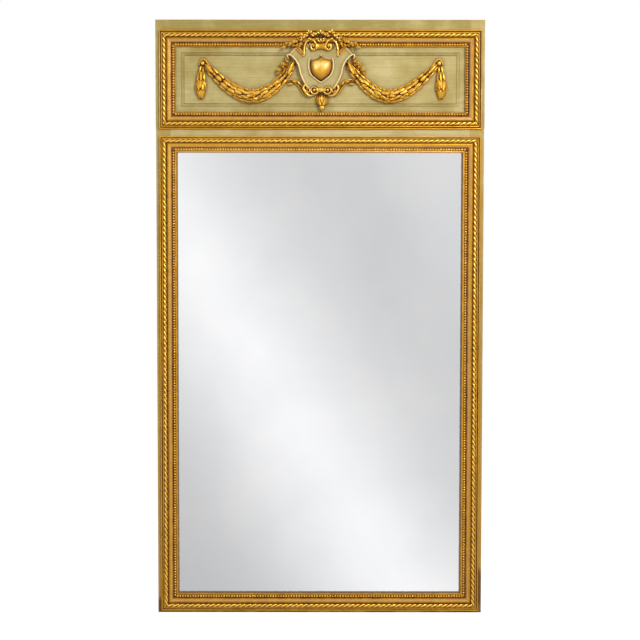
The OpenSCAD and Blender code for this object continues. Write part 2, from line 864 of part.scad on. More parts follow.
// A spray trails from the blossoms out along the moulding
module crest_spray(left) {
    start = [2.6 * crest_step, crest_y - 2];
    path = smooth([start, start + [0.2, -0.03] * spray_l, start + [0.42, -0.16] * spray_l,
                   start + [0.62, -0.30] * spray_l, start + [0.80, -0.36] * spray_l], 3);
    n = len(path);
    color(gold) ornament() mirrored(left) {
        strand(path, taper(n, 3, 2.4, 1.6), taper(n, 6, 5, 3.5), relief_high);
        for (i = [0 : n - 1])
            let (d = path[min(i + 1, n - 1)] - path[max(i - 1, 0)], a = atan2(d.y, d.x))
                leaf_at(path[i], a + (i % 2 == 0 ? 42 : -42), spray_leaf_l * (1 - 0.03 * i),
                        spray_leaf_l * 0.5, blossom_h * 0.6, relief_high, 8);
        for (k = [3, 6, 9])
            translate([path[k].x, path[k].y + (k % 2 == 0 ? 9 : -9), relief_high + berry_r])
                sphere(r = berry_r, $fn = ornament_fn);
        leaf_at(path[n - 1], -20, spray_leaf_l, spray_leaf_l * 0.5, blossom_h * 0.5,
                relief_high, 6);
    }
}

// Leaves and a small blossom beside the start of each garland
module side_spray(left) {
    root = [garland_start_x + 16, 4];
    color(gold) ornament() mirrored(left) difference() {
        union() {
            strand(smooth([root, root + [13, 4], root + [27, -2], root + [38, -14]], 2),
                   taper(7, 3, 2.6, 1.8), taper(7, 7, 6, 4), 0);
            for (i = [0 : 4])
                leaf_at(root + [6 + 7 * i, 3 - 0.5 * i * i], 75 - 32 * i, spray_leaf_l,
                        spray_leaf_l * 0.55, blossom_h * 0.7, 0, 6);
            for (i = [0 : 2])
                leaf_at(root + [10 + 9 * i, -1 - 3 * i], -20 - 25 * i, spray_leaf_l,
                        spray_leaf_l * 0.5, blossom_h * 0.7, 0, 14);
            blossom(root + [18, 4], blossom_r * 0.8, blossom_h, 3);
            blossom(root + [32, -9], blossom_r * 0.7, blossom_h, 2);
        }
        cartouche_space();
        garland_space();
    }
}

// A garland hangs as a chain that is lighter towards its ends, so it is straighter there than a
// catenary. t runs from -1 to 1 along its span, and s is t times half the garland's length
function fall_slope(t) = t - garland_taper * pow(t, garland_power + 1) / (garland_power + 1);
function fall(t) = t * t / 2
    - garland_taper * pow(t, garland_power + 2) / ((garland_power + 1) * (garland_power + 2));
function garland_point(t) = [garland_mid + garland_half * t - garland_lean * (1 - t * t),
                             garland_low + garland_deep * fall(abs(t)) / fall(1)];
function half_length(n) =
    let (parts = [for (i = [-n : n - 1]) norm(garland_point((i + 1) / n) - garland_point(i / n))])
        parts * [for (p = parts) 0.5];
function garland_at(s) = garland_point(s / garland_arc);
function garland_slope(s) =
    let (t = s / garland_arc)
        atan2(sign(t) * garland_deep * fall_slope(abs(t)) / fall(1),
              garland_half + 2 * garland_lean * t);
function garland_width(s) =
    garland_w * (1 - garland_taper * pow(abs(s) / garland_arc, garland_power));
function garland_rise(s) = garland_h * (1 - 0.55 * pow(abs(s) / garland_arc, 1.5));

module garland_space() {
    rows = [for (i = [-12 : 12]) i / 12 * garland_arc];
    strand([for (s = rows) garland_at(s)], [for (s = rows) garland_width(s) * 0.40 + 5],
           [for (s = rows) 4 * frame_d], -over);
}

module knot_space() {
    translate([knot_x, knot_y, -over]) cylinder(r = knot_r + seam, h = frame_d, $fn = 16);
}

module garland(left) {
    rows = [for (i = [-9 : 9]) i / 9 * garland_arc];
    n = floor((garland_arc - garland_leaf_l / 3) / garland_step);
    color(gold) ornament() mirrored(left) difference() {
        union() {
            strand([for (s = rows) garland_at(s)],
                   [for (s = rows) garland_width(s) * garland_core / 2],
                   [for (s = rows) garland_rise(s) * 0.72], 0);
            for (side = [-1, 1]) for (i = [0 : n - 1]) for (k = [-1, 1, 0])
                let (s = garland_arc - garland_leaf_l * 0.1 - i * garland_step,
                     w = garland_width(s), h = garland_rise(s),
                     a = garland_slope(side * s) + (side > 0 ? 180 : 0),
                     p = garland_at(side * s) + k * w * 0.24 * [-sin(a), cos(a)])
                    leaf_at(p, a + k * 9, garland_leaf_l, w * 0.34 + 2,
                            h * (k == 0 ? 0.5 : 0.4), h * (k == 0 ? 0.42 : 0.12), 3);
            for (k = [-1 : 1])
                translate([garland_mid - garland_lean + 3 * k, garland_low + k * garland_w * 0.26,
                           garland_h * (0.72 - 0.3 * abs(k))])
                    sphere(r = garland_w * 0.13, $fn = ornament_fn);
        }
        translate([-panel_w, -panel_w, -frame_d]) cube([3 * panel_w, 3 * panel_w, frame_d]);
        cartouche_space();
        knot_space();
    }
}

module knot(left) {
    color(gold) ornament() mirrored(left) translate([knot_x, knot_y, 0]) {
        cylinder(r = knot_r * 0.8, h = knot_r * 0.6, $fn = 16);
        for (a = [0 : 45 : 315]) rotate([0, 0, a]) leaf(knot_r, knot_r * 0.7, knot_r * 0.9);
        translate([0, 0, knot_r * 0.7]) sphere(r = knot_r * 0.42, $fn = ornament_fn);
    }
}

module drop(left) {
    x = knot_x + drop_shift;
    top = knot_y - knot_r * 0.6;
    rows = [0, 0.12, 0.3, 0.5, 0.7, 0.85, 1];
    fat = [0.12, 0.16, 0.26, 0.36, 0.42, 0.34, 0.08];
    color(gold) ornament() mirrored(left) difference() {
        union() {
            strand([for (t = rows) [x - drop_shift * 0.6 * (1 - t), top - t * drop_l]],
                   fat * drop_w, fat * drop_h * 1.9, 0);
            for (i = [0 : 3]) for (k = [-1, 1, 0])
                let (t = [0.06, 0.24, 0.42, 0.62][i], w = [0.3, 0.6, 0.8, 0.95][i] * drop_w)
                    leaf_at([x + k * w * 0.27 - drop_shift * 0.6 * (1 - t), top - t * drop_l],
                            270 - k * 7, drop_l * 0.32, w * 0.4 + 2,
                            drop_h * (k == 0 ? 0.5 : 0.4),
                            drop_h * (0.16 + 0.28 * fat[i + 1] + (k == 0 ? 0.22 : 0)), 6);
        }
        translate([0, -panel_w, -frame_d]) cube([panel_w, 2 * panel_w, frame_d]);
        knot_space();
        garland_space();
    }
}

// Branches that spread from under the bottom volutes
module acanthus(left) {
    root = foot_volute + [0.8, -0.9] * foot_volute_r;
    path = smooth([root, root + [0.28, 0.27] * acanthus_l, root + [0.55, 0.55] * acanthus_l,
                   root + [0.82, 0.70] * acanthus_l, root + [1.02, 0.72] * acanthus_l], 2);
    n = len(path);
    color(gold) ornament() mirrored(left) difference() {
        union() {
            strand(path, taper(n, 4, 4.4, 2), taper(n, 8, 9, 5), 0);
            for (i = [0 : n - 1])
                let (d = path[min(i + 1, n - 1)] - path[max(i - 1, 0)], a = atan2(d.y, d.x))
                    leaf_at(path[i], a + (i % 2 == 0 ? 26 : -24), acanthus_l * 0.32,
                            acanthus_l * 0.12, 7, 1, 12);
        }
        translate([-panel_w, -panel_w, -frame_d]) cube([3 * panel_w, 3 * panel_w, frame_d]);
        cartouche_space();
        garland_space();
    }
}

module pendant_bud() {
    top = foot_volute.y - foot_roll_r - edge_w - seam;
    color(gold) ornament() difference() {
        union() {
            strand([for (t = [0, 0.25, 0.5, 0.72, 0.86]) [0, top - t * bud_l]],
                   [0.16, 0.3, 0.34, 0.2, 0.12] * bud_w, [0.2, 0.34, 0.4, 0.3, 0.2] * bud_w, 0);
            for (k = [-2, 2, -1, 1, 0])
                leaf_at([k * bud_w * 0.13, top - abs(k) * 2], 270 + k * 11, bud_l * 0.72,
                        bud_w * 0.34, bud_w * 0.2, bud_w * (0.3 - 0.1 * abs(k)), 5);
            translate([0, top - 0.84 * bud_l, bud_w * 0.2])
                sphere(r = bud_l * 0.14, $fn = ornament_fn);
        }
        translate([-panel_w, -panel_w, -frame_d]) cube([3 * panel_w, 3 * panel_w, frame_d]);
        cartouche_space();
    }
}

mirror_stile(true);  // stile_left
mirror_stile(false);  // stile_right
top_rail();
bottom_rail();
frieze_stile(true);  // frieze_stile_left
frieze_stile(false);  // frieze_stile_right
frieze_top_rail();
frieze_bottom_rail();
frieze_panel();
panel_blocks();
frame_pegs();
for (side = [0 : 3]) {
    mirror_moulding(side);
    frieze_moulding(side);
}
mirror_plate();
setting_blocks();
glazing_blocks();
for (i = [1 : board_count])
    back_board(i);
board_nails();
cleat(true);  // cleat_left
cleat(false);  // cleat_right
cleat_screws();
hanger_strap(true);  // hanger_strap_left
hanger_strap(false);  // hanger_strap_right
hanger_ring(true);  // hanger_ring_left
hanger_ring(false);  // hanger_ring_right
hanger_screws();
cartouche();
shield();
crest_flowers();
crest_spray(true);  // crest_spray_left
crest_spray(false);  // crest_spray_right
side_spray(true);  // side_spray_left
side_spray(false);  // side_spray_right
garland(true);  // garland_left
garland(false);  // garland_right
knot(true);  // knot_left
knot(false);  // knot_right
drop(true);  // drop_left
drop(false);  // drop_right
acanthus(true);  // acanthus_left
acanthus(false);  // acanthus_right
pendant_bud();
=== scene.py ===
# Pier mirror: green distemper on pine, carved mouldings and ornament in water gilding, a silvered plate
import math
import random
from functools import partial
import bmesh
import bpy
import numpy as np
from mathutils import Matrix, Vector
from mathutils.bvhtree import BVHTree
from mathutils.geometry import delaunay_2d_cdt


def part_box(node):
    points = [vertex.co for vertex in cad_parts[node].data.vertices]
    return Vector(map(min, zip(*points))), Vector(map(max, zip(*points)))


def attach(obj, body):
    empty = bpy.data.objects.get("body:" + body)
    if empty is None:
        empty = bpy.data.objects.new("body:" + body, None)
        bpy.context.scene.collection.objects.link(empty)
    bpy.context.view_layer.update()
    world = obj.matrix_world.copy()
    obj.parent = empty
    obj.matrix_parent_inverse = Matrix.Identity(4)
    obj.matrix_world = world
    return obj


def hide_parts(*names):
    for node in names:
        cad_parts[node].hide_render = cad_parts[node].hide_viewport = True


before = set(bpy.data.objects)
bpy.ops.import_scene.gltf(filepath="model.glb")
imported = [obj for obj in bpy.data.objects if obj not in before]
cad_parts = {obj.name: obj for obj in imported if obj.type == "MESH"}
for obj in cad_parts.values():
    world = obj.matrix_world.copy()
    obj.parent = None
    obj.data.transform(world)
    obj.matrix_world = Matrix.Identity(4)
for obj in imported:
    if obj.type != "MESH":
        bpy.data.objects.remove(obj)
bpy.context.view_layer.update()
print("frame loaded")

mm = 0.001
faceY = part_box("frieze_panel")[0].y  # the painted face, which looks along -Y
mainBody = "mirror_frame"
scene = bpy.context.scene


def mmBox(nodeName):
    low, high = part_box(nodeName)
    return np.array(low) / mm, np.array(high) / mm


# Where the ornament sits: its drawing is flat, x to the right, y up from the cartouche's middle, z out of the
# face
topStick = mmBox("frieze_moulding_top")
ornamentX = 2.5  # the carving was set a little right of the middle
ornamentZ = topStick[0][2] - 72.5
ropeTop = 12.4  # how far the carved rope stands over the painted face
bandTop = 9.2   # and the band with the beads inside it


# The carved rings of moulding, on the bottom, right, top and left: how far each side lies inside the box of
# its plain solids, how wide its stick is, and how much darker its gilding is set than the rest, lighter
# where the number is below nought
rings = {"mirror": {"inset": (-2, 1.5, 2.4, 2), "wide": (55.6, 55, 48.2, 52.6), "worn": (0, 0, -0.13, 0)},
         "frieze": {"inset": (-3, 0.5, 2.6, 2.5), "wide": (50.6, 51.6, 50.3, 49.6), "worn": (0, 0.05, 0, 0)}}


def ringEdges(section, inner=False):
    # Left, right, low and high edge of a ring, on its outside or on its inside
    low, high = mmBox(f"{section}_moulding_bottom")[0], mmBox(f"{section}_moulding_top")[1]
    foot, right, top, left = (i + (w if inner else 0) for i,
                              w in zip(rings[section]["inset"], rings[section]["wide"]))
    return low[0] + left, high[0] - right, low[2] + foot, high[2] - top


# Small tools for nodes and meshes

mathNode, mixNode, rampNode, splitNode = (f"ShaderNode{kind}" for kind in ("Math", "Mix", "ValToRGB",
                                                                           "SeparateXYZ"))


def hexColour(text, alpha=1.0):
    values = [int(text[i:i + 2], 16) / 255 for i in (0, 2, 4)]
    return tuple(v / 12.92 if v <= 0.04045 else ((v + 0.055) / 1.055) ** 2.4 for v in values) + (alpha,)


def addNode(tree, kind, sockets=(), out=0, stops=(), **settings):
    # Adds one node: settings by name, sockets by place or by key, each linked to a socket or set to a value,
    # and the stops of a ramp. Returns the output named by out, or all of them
    made = tree.nodes.new(kind)
    for key, value in settings.items():
        setattr(made, key, value)
    for key, value in sockets.items() if isinstance(sockets, dict) else enumerate(sockets):
        socket = made.inputs[key]
        if isinstance(value, bpy.types.NodeSocket):
            tree.links.new(value, socket)
        else:
            socket.default_value = hexColour(value) if socket.type == "RGBA" and isinstance(value,
                                                                                            str) else value
    if stops:
        elements = made.color_ramp.elements
        while len(elements) < len(stops):
            elements.new(0.5)
        for element, (place, shade) in zip(elements, stops):
            element.position = place
            element.color = hexColour(shade) if isinstance(shade, str) else (shade, shade, shade, 1)
    return made.outputs if out is None else made.outputs[out]


def newMaterial(name):
    # The material, what adds nodes to it, and the place of a point in metres
    material = bpy.data.materials.new(name)
    material.use_nodes = True
    material.node_tree.nodes.clear()
    add = partial(addNode, material.node_tree)
    return material, add, add("ShaderNodeTexCoord", out="Object")


def grainOf(add, coords, size, detail=3.0, rough=0.55):
    # Clouds whose grain is size millimetres along x, y and z
    place = add("ShaderNodeMapping", {0: coords, 3: tuple(1 / (s * mm) for s in size)})
    return add("ShaderNodeTexNoise", {"Vector": place, "Scale": 1.0, "Detail": detail, "Roughness": rough})


def layered(add, shade, layers):
    # Lays one colour after another over the first, each as far as its factor says
    for factor, colour in layers:
        shade = add(mixNode, {0: factor, 6: shade, 7: colour}, 2, data_type="RGBA")
    return shade


def surfaceOf(add, sockets, height, depth, strength):
    # The finished surface, roughened by a height that is depth millimetres deep
    bump = add("ShaderNodeBump", {"Strength": strength, "Distance": depth * mm, "Height": height})
    add("ShaderNodeOutputMaterial", (add("ShaderNodeBsdfPrincipled", {**sockets, "Normal": bump}),), None)


# Materials

boards = {"light": "A98454", "dark": "7A5631", "knot": "523520", "saw": "4E3820", "grey": "5A4E40", "ring": 8,
          "long": 320, "age": 150, "fine": 0.25}


def sawnShade(add, coords, along, tint=0.0):
    # Pine or oak, sawn and left bare behind the frame: grey-brown with age, with long grain
    ring, long, age = boards["ring"], boards["long"], boards["age"]
    size = (long, ring, ring) if along == "x" else (ring, ring * 3, long)
    grain = grainOf(add, coords, size, 6, 0.6)
    fine = grainOf(add, coords, tuple(s * boards["fine"] for s in size), 3, 0.6)
    cloud = grainOf(add, coords, (age * 6, age, age) if along == "x" else (age, age, age * 6), 2, 0.5)
    shade = add(rampNode, (grain,), stops=[(0.32 + tint, boards["light"]), (0.55 + tint, boards["dark"]),
                                           (0.80 + tint, boards["knot"])])
    rough = add(mathNode, (fine, 0.5), operation="MULTIPLY")
    shade = add(mixNode, {0: rough, 6: shade, 7: boards["saw"]}, 2, data_type="RGBA", blend_type="MULTIPLY")
    aged = add(rampNode, (cloud,), stops=[(0.35, 0.0), (0.70, 0.50)])
    return layered(add, shade, [(aged, boards["grey"])]), grain


def sawnWood(name, along, tint=0.0):
    material, add, coords = newMaterial(name)
    shade, grain = sawnShade(add, coords, along, tint)
    # Saw marks across the board
    place = add("ShaderNodeMapping", {0: coords, 3: (1 / (40 * mm), 1 / (40 * mm), 1 / (9 * mm))})
    saw = add("ShaderNodeTexWave", {"Vector": place, "Scale": 1.0, "Distortion": 1.5}, "Fac",
              bands_direction="Z" if along != "x" else "X")
    height = add(mathNode, (saw, 0.35, grain), operation="MULTIPLY_ADD")
    surfaceOf(add, {"Base Color": shade, "Roughness": 0.82}, height, 0.5, 0.7)
    return material


distemper = {
    "body": "B9AA6E", "light": "CFC28C", "deep": "A3904C", "grime": "6A4C1C", "bare": "9A7A3A",
    "handled": "B88C3A", "sooty": "5E3E10", "streakLong": 170, "streakWide": 2.4, "patch": 90, "cloud": 14,
    "speck": 3.5,
}


def distemperPaint(name, along, shift=0.0, handled=None, gloss=0.0):
    # Glue-bound green distemper brushed over gesso: dead matt, with long brush streaks along the member, thin
    # where the brush ran dry, browner towards the foot where asked, and brown where the mesh carries grime:
    # dirt, and painted shade round edges and carving
    d = distemper
    material, add, coords = newMaterial(name)
    long, wide = d["streakLong"], d["streakWide"]
    size = (long, wide, wide) if along == "x" else (wide, wide, long)
    streaks = grainOf(add, coords, size, 5, 0.62)
    fine = grainOf(add, coords, tuple(s * 0.35 for s in size), 3, 0.6)
    patches = grainOf(add, coords, (d["patch"],) * 3, 3, 0.55)
    specks = grainOf(add, coords, (d["speck"],) * 3, 2, 0.5)
    cloud = grainOf(add, coords, (d["cloud"],) * 3, 4, 0.6)
    shade = add(rampNode, (patches,), stops=[(0.30 + shift, d["deep"]), (0.50 + shift, d["body"]),
                                             (0.72 + shift, d["light"])])
    heavy = add(mathNode, (add(rampNode, (streaks,), stops=[(0.44, 0.0), (0.66, 1.0)]), 0.45),
                operation="MULTIPLY")
    thin = add(mathNode, (add(rampNode, (fine,), stops=[(0.48, 0.0), (0.70, 1.0)]), 0.40),
               operation="MULTIPLY")
    layers = [(heavy, d["deep"]), (thin, d["light"]),
              (add(rampNode, (specks,), stops=[(0.70, 0.0), (0.76, 0.55)]), d["bare"])]
    if handled:
        # The paint turns gold-brown the lower it lies, and dark at the very foot
        height = add(mathNode, (add(splitNode, (coords,), 2), 0.5), operation="MULTIPLY")
        uneven = add(mathNode, (patches, 0.5), operation="SUBTRACT")
        height = add(mathNode, (uneven, 0.35, height), operation="MULTIPLY_ADD")
        layers += [(add(rampNode, (height,), stops=handled), d["handled"]),
                   (add(rampNode, (height,), stops=[(0.0, 0.85), (0.05, 0.0)]), d["sooty"])]
    patchy = add(rampNode, (cloud,), stops=[(0.25, 0.45), (0.70, 1.0)])
    # Painted shade: the grime value darkens the paint where the mesh carries it, dirt and shade together
    dirt = add("ShaderNodeAttribute", out="Fac", attribute_name="grime")
    layers.append((add(mathNode, (dirt, patchy), operation="MULTIPLY", use_clamp=True), d["grime"]))
    # The brush never reached the back of a member, which is bare wood
    behind = add(splitNode, (add("ShaderNodeTexCoord", out="Normal"),), 1)
    layers.append((add(mathNode, (behind, 0.6), operation="GREATER_THAN"), sawnShade(add, coords, along)[0]))
    height = add(mathNode, (streaks, add(mathNode, (specks, 0.4), operation="MULTIPLY")), operation="ADD")
    surfaceOf(add, {"Base Color": layered(add, shade, layers),
                    "Roughness": add(rampNode, (streaks,), stops=[(0.3, 0.62), (0.7, 0.82)]),
                    "Specular IOR Level": 0.3, "Coat Weight": gloss, "Coat Roughness": 0.22}, height, 0.35,
              0.7)
    return material


gilding = {
    "bright": "FFD264", "leaf": "E8AE34", "worn": "BE861A", "bole": "8A5612", "dirt": "2E1705",
    "rubbed": "96561A", "oldPaint": "B89C68", "roughLow": 0.26, "roughHigh": 0.46, "broad": 26, "rub": 7,
    "grain": 2.6, "grainy": 0.30,
}


def waterGilding(name, bright=0.0, dull=1.0, grainy=gilding["grainy"], metal=0.78, high=None, leaf=None):
    # Gold leaf laid on red-brown bole and burnished: metal on the high places, rubbed through to the bole
    # on some edges, and brown with old size and dust in the hollows, taken darker still by the painted shade
    # that each point carries
    g = gilding
    material, add, coords = newMaterial(name)
    broad = grainOf(add, coords, (g["broad"],) * 3, 4, 0.6)
    grain = grainOf(add, coords, (g["grain"],) * 3, 3, 0.6)
    rub = grainOf(add, coords, (g["rub"],) * 3, 4, 0.65)
    tone = add("ShaderNodeAttribute", out="Fac", attribute_name="hollow")
    for cloud, strength in ((broad, 0.42), (grain, grainy)):
        uneven = add(mathNode, (cloud, 0.5), operation="SUBTRACT")
        tone = add(mathNode, (uneven, strength, tone), operation="MULTIPLY_ADD")
    tone = add(mathNode, (tone, -bright), operation="ADD")
    # The darkest stops are painted shade as well as dust
    shade = add(rampNode, (tone,), stops=[(0.0, high or g["bright"]), (0.20, leaf or g["leaf"]),
                                          (0.46, g["worn"]), (0.68, g["bole"]), (0.92, g["dirt"])])
    rubbed = add(mathNode, (add(rampNode, (rub,), stops=[(0.64, 0.0), (0.72, 0.75)]), grainy / g["grainy"]),
                 operation="MULTIPLY", use_clamp=True)
    # A flat of the mouldings was painted over long ago and has worn to a matt tan
    paint = add(mathNode, (add("ShaderNodeAttribute", out="Fac", attribute_name="oldPaint"),
                           add(rampNode, (rub,), stops=[(0.30, 1.0), (0.74, 0.60)])), operation="MULTIPLY")
    shine = add(rampNode, (tone,), stops=[(0.30, metal), (0.75, 0.0)])
    for cover in (add(mathNode, (rubbed, 0.8), operation="MULTIPLY"), paint):
        shine = add(mathNode, (shine, add(mathNode, (1.0, cover), operation="SUBTRACT")),
                    operation="MULTIPLY")
    rough = add(mathNode, (grain, g["roughHigh"] - g["roughLow"], g["roughLow"]), operation="MULTIPLY_ADD")
    rough = add(mathNode, (rough, dull), operation="MULTIPLY")
    rough = add(mathNode, (add(rampNode, (tone,), stops=[(0.3, 0.0), (0.8, 0.35)]), rough), operation="ADD")
    height = add(mathNode, (grain, add(mathNode, (rub, 0.6), operation="MULTIPLY")), operation="ADD")
    surfaceOf(add, {"Base Color": layered(add, shade, [(rubbed, g["rubbed"]), (paint, g["oldPaint"])]),
                    "Metallic": shine, "Roughness": rough}, height, 0.28, 0.8 * grainy / g["grainy"])
    return material


def silveredPlate():
    # Old plate glass silvered behind: a clear, slightly grey reflection, with a thin brown line painted along
    # the foot and the sides as the reflection of the frame's dark rebate, where the metal gives way
    material, add, coords = newMaterial("silvered plate glass")
    sightLeft, sightRight, sightLow, _ = ringEdges("mirror", True)
    bloom = grainOf(add, coords, (260,) * 3, 3, 0.5)
    ragged = grainOf(add, coords, (9,) * 3, 3, 0.6)
    x, _, z = add(splitNode, (coords,), None)
    near = None
    # Painted reflection: the line is wider at the right and the foot than at the left
    for pair, reach in (((x, sightLeft * mm), 5), ((sightRight * mm, x), 8), ((z, sightLow * mm), 8)):
        inside = add(mathNode, (add(mathNode, pair, operation="SUBTRACT"), reach * mm), operation="DIVIDE")
        near = add(mathNode, (inside, near), operation="MINIMUM") if near else inside
    uneven = add(mathNode, (ragged, 0.5), operation="SUBTRACT")
    near = add(mathNode, (uneven, 0.25, near), operation="MULTIPLY_ADD")
    perished = add(rampNode, (near,), stops=[(0.46, 0.85), (0.66, 0.0)])
    shade = add(rampNode, (bloom,), stops=[(0.3, "E9EAEC"), (0.7, "F2F2F3")])
    shader = add("ShaderNodeBsdfPrincipled", {
        "Base Color": layered(add, shade, [(perished, "5A4A34")]), "Roughness": 0.03,
        "Metallic": add(mathNode, (1.0, perished), operation="SUBTRACT")})
    add("ShaderNodeOutputMaterial", (shader,), None)
    return material


def spottedIron(name):
    # Plain mild steel wire and strip, dull grey with brown rust spots
    material, add, coords = newMaterial(name)
    spots = grainOf(add, coords, (3,) * 3, 4, 0.65)
    surfaceOf(add, {"Base Color": add(rampNode, (spots,), stops=[(0.35, "8C8A86"), (0.56, "6C655C"),
                                                                 (0.68, "5A3520")]),
                    "Metallic": add(rampNode, (spots,), stops=[(0.5, 0.85), (0.66, 0.15)]),
                    "Roughness": add(rampNode, (spots,), stops=[(0.4, 0.36), (0.7, 0.8)])}, spots, 0.15, 0.6)
    return material


# The top rail's paint is set darker, and at the foot the paint turns browner the lower it lies
paintAcross = distemperPaint("green distemper brushed across", "x", -0.16)
paintTop = distemperPaint("green distemper, sooty at the top", "x", 0.21)
paintFoot = distemperPaint("green distemper, waxed brown at the foot", "x", 0.05, [(0.0, 1.0), (0.1, 0.9)])
paintUp = distemperPaint("green distemper brushed upright", "z", 0.02,
                         [(0.05, 0.95), (0.45, 0.66), (0.72, 0.38), (0.92, 0.10)])
paintPanel = distemperPaint("green distemper on the panel", "x", 0.02)
paintShield = distemperPaint("green distemper on the cartouche, waxed", "z", 0.0, gloss=0.7)
giltWood = waterGilding("water gilding over bole")
giltBright = waterGilding("burnished gilding", 0.12, 0.85)
giltPale = waterGilding("pale worn gilding on the rims", 0.24, 1.2, 0.20, 0.20, "F8DE9C", "E4B862")
giltShield = waterGilding("burnished gilding on the shield", 0.0, 1.0, 0.10, 0.62, "FFDC84")
plateGlass = silveredPlate()
pineUp = sawnWood("bare pine, upright grain", "z")
pineAcross = sawnWood("bare pine, grain across", "x")
oakUp = sawnWood("bare oak, upright grain", "z", -0.10)
ironWork = spottedIron("dull iron")
print("materials made")


# Meshes: a shape is (points in millimetres, faces, and at each point how dark it is painted for dust and for
# painted shade)

def shape(points, faces, hollow):
    return (np.asarray(points, float).reshape(-1, 3), [tuple(int(i) for i in f) for f in faces],
            np.asarray(hollow, float))


def joined(shapes):
    points, faces, hollow, start = [], [], [], 0
    for p, f, h in shapes:
        points.append(p)
        hollow.append(h)
        faces += [tuple(i + start for i in one) for one in f]
        start += len(p)
    return np.vstack(points), faces, np.concatenate(hollow)


def deeper(made, more):
    # The same shape painted darker: more painted shade over the dust of its hollows
    points, faces, hollow = made
    return points, faces, hollow + more


def flipped(made):
    # The same shape on the other side of the middle line, its faces turned so that they still look outwards
    points, faces, hollow = made
    return points * np.array([-1, 1, 1]), [f[::-1] for f in faces], hollow


def keepValues(mesh, name, values):
    # What each point of a mesh carries for its material, such as how dark it is painted for the dust and the
    # painted shade of its hollows
    layer = mesh.attributes.get(name) or mesh.attributes.new(name, "FLOAT", "POINT")
    layer.data.foreach_set("value", np.asarray(values, np.float32))


def keptValues(mesh, name):
    values = np.zeros(len(mesh.vertices), np.float32)
    mesh.attributes[name].data.foreach_get("value", values)
    return values


def onFace(points, middleX, middleZ):
    # From the flat drawing to the room: x stays, y goes up and z comes out of the painted face
    return np.column_stack([(points[:, 0] + middleX) * mm, faceY - points[:, 2] * mm,
                            (points[:, 1] + middleZ) * mm])


def makePiece(name, made, material, slotName, nodeNames, middle=None, sharp=42, attribute="hollow"):
    points, faces, hollow = made
    mesh = bpy.data.meshes.new(name)
    world = onFace(points, *((ornamentX, ornamentZ) if middle is None else middle))
    mesh.from_pydata(world.tolist(), [], faces)
    mesh.validate()
    shells = bmesh.new()
    shells.from_mesh(mesh)
    bmesh.ops.recalc_face_normals(shells, faces=shells.faces)  # every face looks outwards
    shells.to_mesh(mesh)
    shells.free()
    keepValues(mesh, attribute, np.clip(hollow, -1, 1))
    mesh.shade_smooth()
    mesh.set_sharp_from_angle(angle=math.radians(sharp))
    piece = bpy.data.objects.new(name, mesh)
    scene.collection.objects.link(piece)
    for one in material if isinstance(material, (list, tuple)) else [material]:
        mesh.materials.append(one)
    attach(piece, mainBody)
    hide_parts(*nodeNames)
    return piece


def curve(points, count):
    # A smooth line through given points
    p = np.asarray(points, float)
    ends = np.vstack([2 * p[0] - p[1], p, 2 * p[-1] - p[-2]])
    out = []
    for i in range(len(p) - 1):
        a, b, c, d = ends[i:i + 4]
        for k in range(count):
            t = k / count
            out.append((2 * b + (c - a) * t + (2 * a - 5 * b + 4 * c - d) * t * t
                        + (3 * b - a - 3 * c + d) * t ** 3) / 2)
    out.append(p[-1])
    return np.array(out)


def spread(values, count):
    # A few given values, spread evenly over count places
    values = np.atleast_1d(np.asarray(values, float))
    return np.interp(np.linspace(0, 1, count), np.linspace(0, 1, len(values)), values)


ribbonSection = {"plain": [(-1, -0.6), (-1, 0.15), (-0.82, 0.62), (-0.42, 0.92), (0, 1), (0.42, 0.92),
                           (0.82, 0.62), (1, 0.15), (1, -0.6)],
                 "fluted": [(-1, -0.6), (-1, 0.3), (-0.86, 0.86), (-0.62, 1), (-0.34, 0.62), (0, 0.48),
                            (0.34, 0.62), (0.62, 1), (0.86, 0.86), (1, 0.3), (1, -0.6)]}


def ribbon(path, halfWidth, rise, kind="plain", lift=0.0):
    # A carved band that follows a line, with its edges undercut a little
    path = np.asarray(path, float)
    if path.shape[1] == 2:
        path = np.column_stack([path, np.zeros(len(path))])
    n, section = len(path), ribbonSection[kind]
    m = len(section)
    halfWidth, rise, lift = spread(halfWidth, n), spread(rise, n), spread(lift, n)
    run = np.gradient(path[:, :2], axis=0)
    run /= np.maximum(np.linalg.norm(run, axis=1), 1e-9)[:, None]
    points, hollow = [], []
    for i in range(n):
        for across, up in section:
            points.append((path[i, 0] - run[i, 1] * across * halfWidth[i],
                           path[i, 1] + run[i, 0] * across * halfWidth[i],
                           path[i, 2] + lift[i] + up * rise[i]))
            # Painted shade: the flute and the undercut sides are painted darker
            deep = 0.25 if kind == "fluted" and abs(across) < 0.4 else 0.0
            hollow.append(max(deep, 0.5 * (0.35 - up)))
    faces = [(i * m + j, (i + 1) * m + j, (i + 1) * m + j + 1, i * m + j + 1)
             for i in range(n - 1) for j in range(m - 1)]
    faces += [((i + 1) * m, i * m, i * m + m - 1, (i + 1) * m + m - 1) for i in range(n - 1)]
    faces.append(tuple(range(m)))
    faces.append(tuple(range((n - 1) * m + m - 1, (n - 1) * m - 1, -1)))
    return shape(points, [f[::-1] for f in faces], hollow)


def closedGrid(points, hollow, across, under, deep=1.0, first=0):
    # Closes a grid of points, across of them in a row, with a wall round it and a back, where under says what
    # lies behind each point of its rim. Each quad folds from its corner number first
    rows = len(points) // across
    corners = [0, 1, across + 1, across]
    corners = corners[first:] + corners[:first]
    faces = [tuple(k + c for c in corners) for i in range(rows - 1)
             for k in range(i * across, (i + 1) * across - 1)]
    last = (rows - 1) * across
    rim = [*range(across), *range(2 * across - 1, rows * across, across),
           *range(last + across - 2, last - 1, -1), *range(last - across, 0, -across)]
    start, n = len(points), len(rim)
    points += [under(*points[k]) for k in rim]
    # The wall and the back are painted as dark as deep says, painted shade on the faces that turn away
    hollow += [deep] * n
    faces += [(rim[(k + 1) % n], rim[k], start + k, start + (k + 1) % n) for k in range(n)]
    return shape(points, faces + [range(start + n - 1, start - 1, -1)], hollow)


